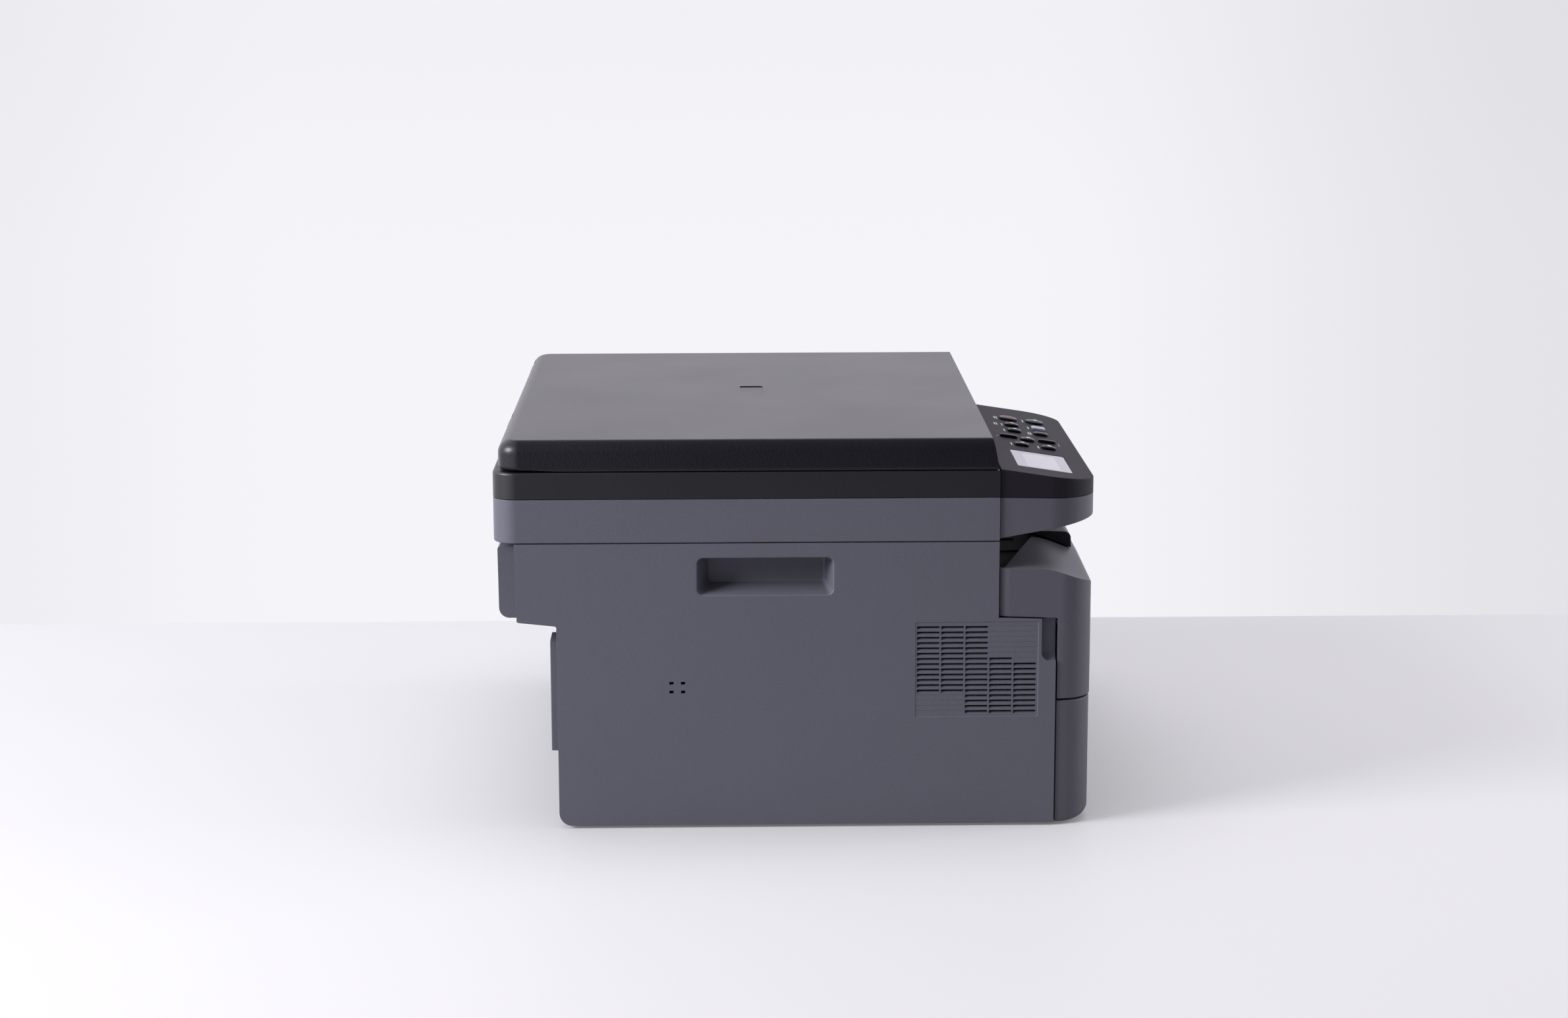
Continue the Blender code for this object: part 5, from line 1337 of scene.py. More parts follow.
def screws(name, facing, places, body="printer_body"):
    """Cross-recessed pan heads standing on a face."""
    head = soften(rod("screw", 0.0026, (0.0, 0.0, -0.0002), 0.0014, "Z", 24), 0.0005, 3)
    cut(head,
        box("cross", (-0.0014, 0.0014), (-0.0004, 0.0004), (0.0006, 0.0030)),
        box("cross", (-0.0004, 0.0004), (-0.0014, 0.0014), (0.0006, 0.0030)))
    head.data.transform(FACING[facing])
    group = repeated(name, head, [(1, place, (0.0, 0.0, 0.0)) for place in places])
    finished(group, body, "steel", ZINC_STEEL)


def bottom_pan():
    """Moulded floor with air slots, a stiffening groove and rubber feet pushed into it."""
    pan = box("bottom_pan_shell", (-BETWEEN_SIDES, BETWEEN_SIDES), (-0.1690, 0.1551),
              (BODY_BOTTOM, 0.0050))
    soften(pan, 0.0006, 3)
    slot = soften(box("slot", (-0.0140, 0.0140), (-0.0015, 0.0015), (0.0, 0.0100)), 0.0008, 3)
    runs = [(8, (x, y, 0.0), (0.0, 0.0070, 0.0)) for x in (-0.0900, 0.0900) for y in (-0.0900, 0.0400)]
    loops = [rectangle((-0.1400, 0.1400), (-0.1250, 0.1200), 0.0120),
             rectangle((-0.1380, 0.1380), (-0.1230, 0.1180), 0.0100)]
    cut(pan, repeated("slots", slot, runs), plate("groove", loops, "XY", 0.0, 0.0027))
    finished(pan, "printer_body", "inner_black", INNER_PLASTIC, ["bottom_pan"])
    corners = [(x, y, 0.0) for x in (-0.1650, 0.1650) for y in (-0.1400, 0.1300)]
    foot = soften(rod("foot", 0.0085, (0.0, 0.0, 0.0), 0.0021, "Z"), 0.0007, 4)
    feet = repeated("rubber_feet", foot, [(1, corner, (0.0, 0.0, 0.0)) for corner in corners])
    finished(feet, "printer_body", "rubber", RUBBER)
    screws("pan_screws", "down", [(x, y, BODY_BOTTOM) for x in (-0.1780, 0.0, 0.1780)
                                  for y in (-0.1600, 0.1460)])


def engine_frame():
    """Side frames, deck over the cassette and cross members, with paper ribs on the deck."""
    back = 0.1521
    chassis = box("engine_frame_shell", (-BETWEEN_SIDES, BETWEEN_SIDES), (-0.1300, 0.1551),
                  (0.0054, FRAME_TOP))
    cut(chassis,
        box("bay", (-ENGINE_WALL, ENGINE_WALL), (-0.2, back), (0.0, 0.0880)),
        box("upper_bay", (-ENGINE_WALL, ENGINE_WALL), (-0.1260, back), (DECK, 0.2)),
        box("front_mouth", (-ENGINE_WALL, ENGINE_WALL), (-0.2, -0.12), (DECK, 0.1400)),
        box("rear_mouth", (-0.160, 0.160), (0.14, 0.17), (DECK, 0.1400)),
        box("feed_opening", (-0.060, 0.060), (-0.1262, -0.0980), (0.08, 0.0910)),
        box("inlet_opening", (0.1350, 0.1660), (0.14, 0.17), (0.0160, 0.0420)),
        box("port_opening", (-0.1580, -0.1420), (0.14, 0.17), (0.0180, 0.0330)),
        rod("hole", 0.0180, (-0.2, -0.0800, 0.0520), 0.4, "X", 72),
        rod("hole", 0.0180, (-0.2, 0.0900, 0.0520), 0.4, "X", 72))
    soften(chassis, 0.0005, 2, 60)
    fuse(chassis, turned("stud", [(0.1848, 0.0032), (0.1916, 0.0032), (0.1922, 0.0026)],
                         (0.0040, 0.1000), 32))
    finished(chassis, "printer_body", "inner_black", INNER_PLASTIC, ["engine_frame"])
    rib = soften(box("rib", (-0.0006, 0.0006), (-0.0950, -0.0600), (0.0899, 0.0910)), 0.0003, 2)
    ribs = repeated("deck_ribs", rib, [(13, (-0.1500, 0.0, 0.0), (0.0250, 0.0, 0.0)),
                                       (13, (-0.1500, 0.1100, 0.0), (0.0250, 0.0, 0.0))])
    finished(ribs, "printer_body", "inner_black", INNER_PLASTIC)


def scan_carriage():
    """Bar with its rod-lens strip and light guide, on the guide rod under the glass."""
    home = -0.1490
    bar = soften(box("scan_carriage_shell", (home - 0.0110, home + 0.0110), (-0.0960, 0.1200),
                     (0.2120, 0.2352)), 0.0015, 4)
    fuse(bar, soften(box("saddle", (home - 0.0100, home + 0.0100), (0.0040, 0.0200),
                         (0.1992, 0.2140)), 0.0008, 3))
    notch = soften(box("notch", (home - 0.0120, home - 0.0100), (0.0, 0.0120), (0.2160, 0.2300)),
                   0.0006, 2)
    cut(bar,
        rod("bore", 0.0044, (home - 0.02, *ROD_LINE), 0.04),
        box("window", (home - 0.0046, home + 0.0046), (-0.0900, 0.1140), (0.2316, 0.24)),
        repeated("notches", notch, [(5, (0.0, -0.0880, 0.0), (0.0, 0.0180, 0.0)),
                                    (5, (0.0, 0.0280, 0.0), (0.0, 0.0180, 0.0))]))
    finished(bar, "scan_carriage", "inner_black", INNER_PLASTIC, ["scan_carriage"])
    lens = box("carriage_lens_strip", (home - 0.0012, home + 0.0008), (-0.0890, 0.1130),
               (0.2314, 0.2336))
    finished(soften(lens, 0.0003, 2), "scan_carriage", "glass", GLASS)
    lamp = box("carriage_light_guide", (home + 0.0016, home + 0.0042), (-0.0890, 0.1130),
               (0.2314, 0.2342))
    finished(soften(lamp, 0.0008, 4), "scan_carriage", "white_sheet", PAD_FILM)
    guide = shaft("scan_guide_rod_shell", 0.2020, 0.0040, ROD_LINE)
    finished(guide, "printer_body", "steel", ZINC_STEEL, ["scan_guide_rod"])
    pane = soften(box("flatbed_glass_pane", (-GLASS_HALF, GLASS_HALF), (GLASS_FRONT, GLASS_REAR),
                      (0.2398, 0.2420)), 0.0003, 2)
    finished(pane, "printer_body", "glass", GLASS, ["flatbed_glass"])


def lid_fittings():
    """White film on foam in the lid, and the hinge knuckles with their pins."""
    film = plate("lid_pad_film", [rectangle((-0.1680, 0.1680), (-0.1120, 0.1370), 0.0060)], "XY",
                 LID_BOTTOM, 0.2437)
    finished(soften(film, 0.0003, 2), "lid", "white_sheet", PAD_FILM, ["lid_pad"])
    foam = plate("lid_pad_foam", [rectangle((-0.1670, 0.1670), (-0.1110, 0.1360), 0.0060)], "XY",
                 0.2437, LID_PANEL - 0.0003)
    finished(foam, "lid", "white_sheet", FOAM)
    low = RIM_TOP + GAP
    corners = [(LID_AXIS_Y - 0.0052, low, 0.0), (LID_AXIS_Y + 0.0040, low, 0.0),
               (LID_AXIS_Y + 0.0040, 0.2566, 0.0036), (LID_AXIS_Y - 0.0052, 0.2566, 0.0050)]
    for name, x in HINGES.items():
        block = plate(name + "_shell", [rounded(corners)], "YZ", x - HINGE_HALF, x + HINGE_HALF)
        soften(block, 0.0005, 3, 50)
        groove = box("groove", (x - 0.0010, x + 0.0010), (0.17, LID_AXIS_Y - 0.0030), (0.2440, 0.2540))
        cut(block, repeated("grooves", groove, [(3, (-0.0060, 0.0, 0.0), (0.0060, 0.0, 0.0))]))
        finished(block, "printer_body", "inner_black", INNER_PLASTIC, [name])
        pin = rod(name + "_pin", 0.0014, (x - 0.0180, LID_AXIS_Y, LID_AXIS_Z), 0.0360, "X", 24)
        finished(pin, "printer_body", "steel", ZINC_STEEL)


def panel_board():
    """Key board with its contact domes, and the display module on it."""
    board = plate("panel_board_shell", [rectangle((-0.1840, 0.0400), (-0.0560, -0.0100), 0.002)],
                  "XY", -0.0070, -0.0054)
    finished(on_panel(board), "printer_body", "circuit_board", BOARD, ["panel_board"])
    x, down, width, height = DISPLAY
    module = plate("display_module", [panel_field(x, down, width - 0.004, height - 0.004, 0.001)],
                   "XY", -0.0054, -0.0024)
    finished(on_panel(soften(module, 0.0004, 2)), "printer_body", "inner_black", INNER_PLASTIC)
    domes = [rod("dome", 0.0024, (x, -down, -0.0055), 0.0003, "Z", 24)
             for x, down, width, height, corner in KEYS.values()]
    finished(on_panel(joined("key_contact_domes", domes)), "printer_body", "steel", ZINC_STEEL)


def cassette_tray():
    """Paper tray with pocketed walls, slide slots for its guides, and the sprung lift plate."""
    half, wall = 0.1800, 0.0030
    tray = box("cassette_tray_shell", (-half, half), (CASSETTE_SEAM + GAP, 0.1350), (0.0054, 0.0780))
    soften(tray, 0.0008, 3)
    pocket = soften(box("pocket", (-0.0016, 0.0016), (0.0, 0.0230), (0.0140, 0.0700)), 0.0006, 2)
    slide = box("slide", (0.0, 0.0800), (-0.0014, 0.0014), (0.0068, 0.0100))
    cut(tray,
        box("inside", (-half + wall, half - wall), (-0.1706, 0.1320), (0.0080, 0.1)),
        box("lip", (-0.0700, 0.0700), (-0.1800, -0.1600), (0.0640, 0.1)),
        repeated("pockets", pocket, [(11, (side * half, -0.1660, 0.0), (0.0, 0.0270, 0.0))
                                     for side in (-1, 1)]),
        repeated("slides", slide, [(2, (x, 0.0530, 0.0), (0.0, 0.0200, 0.0))
                                   for x in (-0.1600, 0.0800)]),
        box("rack_slot", (-0.0030, 0.0030), (0.0300, 0.1250), (0.0068, 0.0100)))
    finished(tray, "cassette", "inner_black", INNER_PLASTIC, ["cassette_tray"])

    hinge = 0.0200
    sheet = box("lift_plate_shell", (-0.1060, 0.1060), (-0.1640, hinge + 0.0010), (0.0086, 0.0100))
    hole = rod("hole", 0.0070, (0.0, 0.0, 0.0), 0.0200, "Z", 32)
    bead = soften(box("bead", (-0.0900, 0.0900), (-0.0012, 0.0012), (0.0094, 0.0110)), 0.0005, 2)
    cut(sheet,
        repeated("holes", hole, [(5, (-0.0800, y, 0.0), (0.0400, 0.0, 0.0)) for y in (-0.1150, -0.0300)]),
        repeated("beads", bead, [(2, (0.0, -0.0900, 0.0), (0.0, 0.0330, 0.0))]),
        box("pad_seat", (-0.0125, 0.0125), (-0.1605, -0.1415), (0.0092, 0.0110)))
    fuse(sheet, rod("pin", 0.0012, (-0.1100, hinge, 0.0098), 0.2200, "X", 24))
    finished(sheet, "lift_plate", "steel", ZINC_STEEL, ["lift_plate"])
    pad = box("lift_plate_pad", (-0.0122, 0.0122), (-0.1602, -0.1418), (0.0092, 0.0100))
    finished(pad, "lift_plate", "rubber", RUBBER)

    for name, side in (("left_width_guide", -1), ("right_width_guide", 1)):
        guide = soften(box(name + "_shell", sorted((side * 0.1064, side * 0.1086)),
                           (0.0260, 0.1000), (0.0084, 0.0560)), 0.0005, 3)
        fuse(guide, box("foot", sorted((side * 0.1070, side * 0.1240)), (0.0400, 0.0860),
                        (0.0084, 0.0104)))
        recess = box("recess", sorted((side * 0.1077, side * 0.1100)), (0.0, 0.0200),
                     (0.0140, 0.0520))
        tooth = box("tooth", sorted((side * 0.1110, side * 0.1120)), (0.0550, 0.0720),
                    (0.0096, 0.0120))
        cut(guide,
            repeated("recesses", recess, [(3, (0.0, 0.0290, 0.0), (0.0, 0.0240, 0.0))]),
            repeated("teeth", tooth, [(6, (0.0, 0.0, 0.0), (side * 0.0020, 0.0, 0.0))]))
        finished(guide, name, "inner_black", INNER_PLASTIC, [name])
    back = soften(box("length_guide_shell", (-0.0250, 0.0250), (0.1290, 0.1314), (0.0084, 0.0560)),
                  0.0005, 3)
    fuse(back, soften(box("foot", (-0.0220, 0.0220), (0.1080, 0.1300), (0.0084, 0.0104)), 0.0005, 2))
    cut(back, box("grip", (-0.0090, 0.0090), (0.1120, 0.1200), (0.0096, 0.0120)))
    finished(back, "length_guide", "inner_black", INNER_PLASTIC, ["length_guide"])


def toner_and_drum():
    """Toner cartridge with a ribbed top and grip, and the drum unit behind it."""
    corners = [(-0.1180, 0.1130, 0.0050), (-0.0920, 0.1090, 0.0040), (-0.0620, 0.0950, 0.0040),
               (-0.0480, 0.1060, 0.0040), (-0.0500, 0.1400, 0.0060), (-0.1120, 0.1460, 0.0060)]
    toner = plate("toner_cartridge_shell", [rounded(corners)], "YZ", -0.1500, 0.1500)
    soften(toner, 0.0008, 3, 50)
    fuse(toner, soften(box("grip", (-0.0350, 0.0350), (-0.1240, -0.1100), (0.1240, 0.1320)),
                       0.0020, 6))
    groove = plate("groove", [[(-0.1060, 0.1448), (-0.0560, 0.1400), (-0.0560, 0.1600),
                               (-0.1060, 0.1600)]], "YZ", -0.0010, 0.0010)
    line = box("line", (-0.0300, 0.0300), (-0.1300, -0.1234), (-0.0004, 0.0004))
    cut(toner,
        repeated("grooves", groove, [(23, (-0.1320, 0.0, 0.0), (0.0120, 0.0, 0.0))]),
        repeated("lines", line, [(3, (0.0, 0.0, 0.1262), (0.0, 0.0, 0.0018))]))
    finished(toner, "printer_body", "inner_black", INNER_PLASTIC, ["toner_cartridge"])
    corners = [(-0.0460, 0.1150, 0.0020), (0.0240, 0.1150, 0.0040), (0.0240, 0.1450, 0.0080),
               (-0.0460, 0.1450, 0.0020)]
    unit = plate("drum_unit_shell", [rounded(corners)], "YZ", -0.1620, 0.1620)
    soften(unit, 0.0008, 3, 50)
    recess = soften(box("recess", (-0.0120, 0.0120), (-0.0400, 0.0120), (0.1440, 0.1600)), 0.0006, 2)
    cut(unit,
        rod("space", 0.0126, (-0.1508, *DRUM_LINE), 0.3016, "X", 64),
        rod("bore", 0.0034, (-0.17, *DRUM_LINE), 0.34, "X", 32),
        repeated("recesses", recess, [(11, (-0.1400, 0.0, 0.0), (0.0280, 0.0, 0.0))]))
    fuse(unit, *[box("foot", sorted((side * 0.1540, side * 0.1616)), (0.0100, 0.0200),
                     (DECK + GAP, 0.1200)) for side in (-1, 1)])
    finished(unit, "printer_body", "inner_black", INNER_PLASTIC, ["drum_unit"])


def laser_and_fuser():
    """Laser scanner box with its window, and the vented fuser frame."""
    unit = soften(box("laser_unit_shell", (-0.1814, 0.1814), (0.0300, 0.0760), (0.1180, 0.1500)),
                  0.0020, 4)
    recess = soften(box("recess", (-0.0140, 0.0140), (0.0370, 0.0700), (0.1484, 0.1600)), 0.0008, 2)
    cut(unit,
        box("slot", (-0.1100, 0.1100), (0.0200, 0.0340), (0.1240, 0.1290)),
        repeated("recesses", recess, [(10, (-0.1440, 0.0, 0.0), (0.0320, 0.0, 0.0))]))
    finished(unit, "printer_body", "inner_black", INNER_PLASTIC, ["laser_unit"])
    pane = box("laser_window", (-0.1096, 0.1096), (0.0328, 0.0338), (0.1242, 0.1288))
    finished(pane, "printer_body", "glass", GLASS)
    case = soften(box("fuser_frame_shell", (-0.1814, 0.1814), (0.0850, 0.1390),
                      (DECK + GAP, 0.1480)), 0.0015, 4)
    vent = soften(box("vent", (-0.0018, 0.0018), (0.0950, 0.1290), (0.1400, 0.1600)), 0.0008, 2)
    cut(case,
        box("channel", (-0.1500, 0.1500), (0.05, 0.17), (0.0940, 0.1440)),
        rod("bore", 0.0044, (-0.1560, *HEAT_LINE), 0.3120),
        rod("bore", 0.0044, (-0.1560, *PRESSURE_LINE), 0.3120),
        repeated("vents", vent, [(35, (-0.1360, 0.0, 0.0), (0.0080, 0.0, 0.0))]))
    finished(case, "printer_body", "inner_black", INNER_PLASTIC, ["fuser_frame"])


ROLLERS = (
    ("photo_drum", DRUM_LINE, 0.0030, 0.1640, ((-0.1440, 0.1440, 0.0120),), "drum_coating", DRUM),
    ("transfer_roller", (0.0, 0.1028), 0.0025, 0.1814, ((-0.1490, 0.1490, 0.0070),),
     "rubber", RUBBER),
    ("heat_roller", HEAT_LINE, 0.0040, 0.1550, ((-0.1480, 0.1480, 0.0120),),
     "roller_sleeve", SLEEVE),
    ("pressure_roller", PRESSURE_LINE, 0.0040, 0.1550, ((-0.1480, 0.1480, 0.0100),),
     "rubber", RUBBER),
    ("pickup_roller", (-0.1130, 0.0955), 0.0030, 0.1814,
     tuple((x, x + 0.0044, 0.0105) for x in (-0.0200, -0.0148, -0.0096, 0.0052, 0.0104, 0.0156)),
     "rubber", RUBBER),
    ("exit_rollers", (0.1310, 0.1775), 0.0025, 0.1830,
     tuple((x - 0.0080, x + 0.0080, 0.0068) for x in (-0.0950, -0.0350, 0.0350, 0.0950)),
     "rubber", RUBBER),
)


def rollers():
    """Steel shafts with their tyres, sleeves and coated tube."""
    for name, centre, radius, half, parts, slot, material in ROLLERS:
        tyres = [tyre(name + "_tyre", start, end, outer, radius, centre)
                 for start, end, outer in parts]
        finished(joined(name + "_tyres", tyres), name, slot, material, [name])
        finished(shaft(name + "_shaft", half, radius, centre), name, "steel", ZINC_STEEL)
    flanges = [tyre("flange", min(a, b), max(a, b), 0.0118, 0.0030, DRUM_LINE)
               for a, b in ((-0.1500, -0.1440), (0.1440, 0.1500))]
    finished(joined("photo_drum_flanges", flanges), "photo_drum", "gear_white", GEAR_POM)
    hub = tyre("hub", -0.0206, 0.0206, 0.0078, 0.0030, (-0.1130, 0.0955))
    finished(joined("pickup_roller_hub", [hub]), "pickup_roller", "gear_white", GEAR_POM)


def gear_outline(centre, teeth, phase):
    """Curved-flanked teeth, ten points a tooth, module 1.5 mm."""
    module = 0.0015
    pitch = teeth * module / 2
    outline = []
    for tooth in range(teeth):
        for share, height in ((-0.31, -1.15), (-0.27, -0.95), (-0.19, 0.0), (-0.14, 0.55),
                              (-0.11, 0.70), (0.11, 0.70), (0.14, 0.55), (0.19, 0.0),
                              (0.27, -0.95), (0.31, -1.15)):
            angle = (tooth + share + phase) * 2 * math.pi / teeth
            reach = pitch + height * module
            outline.append((centre[0] + reach * math.cos(angle), centre[1] + reach * math.sin(angle)))
    return outline


def drive():
    """Main drive gear with its thinned web, the pinion, and the flat motor outside them."""
    low, high = BOARD_SIDE, BOARD_SIDE + 0.0050
    centre, motor = (0.0040, 0.1000), (0.0400, 0.1000)
    loops = [gear_outline(centre, 40, 0.5), circle(centre, 0.0036)]
    for index in range(4):
        angle = math.radians(45 + 90 * index)
        loops.append(circle((centre[0] + 0.0165 * math.cos(angle),
                             centre[1] + 0.0165 * math.sin(angle)), 0.0054))
    gear = plate("drive_gear_shell", loops, "YZ", low, high)
    web = [circle(centre, 0.0252, 72), circle(centre, 0.0080)]
    cut(gear, plate("web", web, "YZ", low - 0.001, low + 0.0016),
        plate("web", web, "YZ", high - 0.0016, high + 0.001))
    finished(gear, "drive_gear", "gear_white", GEAR_POM, ["drive_gear"])
    pinion = plate("motor_pinion_shell", [gear_outline(motor, 8, 0.0), circle(motor, 0.0014)],
                   "YZ", low, high)
    finished(pinion, "motor_pinion", "gear_white", GEAR_POM, ["motor_pinion"])
    axle = turned("motor_pinion_shaft", [(low + 0.0002, 0.0011), (low + 0.0005, 0.0014),
                                         (high + 0.0003, 0.0014)], motor, 24)
    finished(axle, "motor_pinion", "steel", ZINC_STEEL)
    start = BOARD_SIDE + 0.0056
    can = turned("main_motor_shell", [
        (start, 0.0206), (start + 0.0004, 0.0210), (start + 0.0016, 0.0210),
        (start + 0.0018, 0.0196), (start + 0.0074, 0.0196), (start + 0.0082, 0.0188),
        (start + 0.0082, 0.0062), (start + 0.0090, 0.0056)], motor, 96)
    finished(can, "printer_body", "steel", ZINC_STEEL, ["main_motor"])


def scatter_tree():
    """Shapes strewn over a flat grid with seeded gaps and lengths, like a board's parts."""
    tree = bpy.data.node_groups.new("scatter", "GeometryNodeTree")
    face = tree.interface
    face.new_socket("Geometry", in_out="OUTPUT", socket_type="NodeSocketGeometry")
    for name, kind in (("Geometry", "Geometry"), ("Shape", "Object"), ("Width", "Float"),
                       ("Height", "Float"), ("Columns", "Int"), ("Rows", "Int"),
                       ("Share", "Float"), ("Seed", "Int"), ("Material", "Material")):
        face.new_socket(name, in_out="INPUT", socket_type="NodeSocket" + kind)
    given = add_node(tree, "NodeGroupInput").outputs
    grid = add_node(tree, "GeometryNodeMeshGrid", (),
                    {"Size X": given["Width"], "Size Y": given["Height"],
                     "Vertices X": given["Columns"], "Vertices Y": given["Rows"]})
    shape = add_node(tree, "GeometryNodeObjectInfo", (), {"Object": given["Shape"]})
    kept = add_node(tree, "FunctionNodeRandomValue", {"data_type": "BOOLEAN"},
                    {"Probability": given["Share"], "Seed": given["Seed"]})
    stretch = add_node(tree, "FunctionNodeRandomValue", {"data_type": "FLOAT_VECTOR"},
                       {0: (0.6, 0.6, 0.6), 1: (1.5, 1.3, 1.0), "Seed": given["Seed"]})
    copies = add_node(tree, "GeometryNodeInstanceOnPoints", (),
                      {"Points": grid.outputs["Mesh"], "Instance": shape.outputs["Geometry"],
                       "Selection": kept.outputs[3], "Scale": stretch.outputs[0]})
    real = add_node(tree, "GeometryNodeRealizeInstances", (),
                    {"Geometry": copies.outputs["Instances"]})
    coat = add_node(tree, "GeometryNodeSetMaterial", (),
                    {"Geometry": real.outputs["Geometry"], "Material": given["Material"]})
    add_node(tree, "NodeGroupOutput", (), {"Geometry": coat.outputs["Geometry"]})
    return tree


SCATTER = scatter_tree()


def small_parts(name, side, y, z, pitch, size, share, seed, slot, material):
    """Small board parts over a (y, z) field of one side's board."""
    shape = box("part", (-size[0], size[0]), (-size[1], size[1]), sorted((0.0, side * size[2])))
    parts = grown(name, SCATTER, {
        "Shape": shape, "Width": y[1] - y[0], "Height": z[1] - z[0],
        "Columns": round((y[1] - y[0]) / pitch) + 1, "Rows": round((z[1] - z[0]) / pitch) + 1,
        "Share": share, "Seed": seed, "Material": material})
    bpy.data.objects.remove(shape, do_unlink=True)
    place = Matrix.Translation((side * (BOARD_SIDE + 0.0016), sum(y) / 2, sum(z) / 2))
    parts.data.transform(place @ PLANES["YZ"])
    finished(joined(name, [parts]), "printer_body", slot, material)


def upright(side, depth, low=0.0016):
    """X range of a part that stands on one side's board."""
    return sorted((side * (BOARD_SIDE + low), side * (BOARD_SIDE + depth)))


def boards():
    """Main board on the left side frame and the power supply on the right one."""
    for name, side, y, z in (("main_board", -1, (-0.0600, 0.1200), (0.0250, 0.1250)),
                             ("power_supply", 1, (-0.1250, -0.0320), (0.0200, 0.1250))):
        loops = [rectangle(y, z, 0.002, 4)]
        corners = [(v, w) for v in (y[0] + 0.0045, y[1] - 0.0045) for w in (z[0] + 0.0045, z[1] - 0.0045)]
        loops += [circle(corner, 0.0017, 24) for corner in corners]
        sheet = plate(name + "_shell", loops, "YZ", *upright(side, 0.0016, 0.0))
        finished(sheet, "printer_body", "circuit_board", BOARD, [name])

    blocks = {
        "board_chips": ("inner_black", INNER_PLASTIC, [
            (upright(-1, 0.0030), (-0.0200, 0.0100), (0.0600, 0.0900)),
            (upright(-1, 0.0026), (0.0260, 0.0400), (0.0640, 0.0860)),
            (upright(-1, 0.0026), (0.0460, 0.0600), (0.0640, 0.0860)),
            (upright(1, 0.0050), (-0.1150, -0.1090), (0.0300, 0.0600)),
            (upright(1, 0.0050), (-0.0910, -0.0850), (0.0300, 0.0600)),
            (upright(1, 0.0140), (-0.1090, -0.0910), (0.0380, 0.0520))]),
        "board_sockets": ("gear_white", GEAR_POM, [
            (upright(-1, 0.0110), (0.0600, 0.0900), (0.0350, 0.0450)),
            (upright(-1, 0.0080), (-0.0500, -0.0350), (0.0400, 0.1000)),
            (upright(-1, 0.0070), (0.0980, 0.1120), (0.0700, 0.1100)),
            (upright(1, 0.0080), (-0.0820, -0.0760), (0.0980, 0.1180))]),
    }
    for name, (slot, material, ranges) in blocks.items():
        pieces = [soften(box("block", *span), 0.0004, 2) for span in ranges]
        finished(joined(name, pieces), "printer_body", slot, material)
    pins = [rod("pin", 0.0005, (-BOARD_SIDE - 0.0118, 0.0620 + 0.0026 * i, 0.0400), 0.0030, "X", 8)
            for i in range(11)]
    finished(joined("board_socket_pins", pins), "printer_body", "steel", ZINC_STEEL)
    winding = turned("transformer_winding", [
        (BOARD_SIDE + 0.0030, 0.0110), (BOARD_SIDE + 0.0034, 0.0130), (BOARD_SIDE + 0.0116, 0.0130),
        (BOARD_SIDE + 0.0120, 0.0110)], (-0.1000, 0.0450), 48)
    finished(winding, "printer_body", "steel", WINDING)
    fins = [box("fin", upright(-1, 0.0060, 0.0030), (-0.0190 + 0.0030 * i, -0.0178 + 0.0030 * i),
                (0.0610, 0.0890)) for i in range(10)]
    fins += [box("fin", upright(1, 0.0120), (-0.0700 + 0.0036 * i, -0.0686 + 0.0036 * i),
                 (0.0350, 0.0900)) for i in range(8)]
    fins.append(box("fin", upright(1, 0.0030), (-0.0700, -0.0434), (0.0350, 0.0900)))
    finished(joined("heat_sinks", fins), "printer_body", "steel", ZINC_STEEL)
    cans = [turned("can", [(upright(1, 0.0)[1] + 0.0016, 0.0080), (BOARD_SIDE + 0.0090, 0.0080),
                           (BOARD_SIDE + 0.0100, 0.0072)], centre, 40)
            for centre in ((-0.1060, 0.0900), (-0.1060, 0.1090), (-0.0880, 0.0950))]
    finished(joined("capacitor_cans", cans), "printer_body", "inner_black", SLEEVE_PVC)
    small_parts("main_board_parts", -1, (0.0200, 0.1120), (0.0500, 0.0590), 0.0030,
                (0.0010, 0.0006, 0.0009), 0.62, 7, "inner_black", INNER_PLASTIC)
    small_parts("main_board_chips", -1, (-0.0300, 0.0900), (0.0940, 0.1180), 0.0048,
                (0.0016, 0.0012, 0.0012), 0.45, 11, "inner_black", INNER_PLASTIC)
    small_parts("main_board_caps", -1, (-0.0280, 0.0920), (0.0965, 0.1155), 0.0048,
                (0.0006, 0.0010, 0.0010), 0.35, 5, "gear_white", GEAR_POM)
    small_parts("power_supply_parts", 1, (-0.1180, -0.0400), (0.0220, 0.0270), 0.0040,
                (0.0014, 0.0008, 0.0016), 0.6, 3, "inner_black", INNER_PLASTIC)


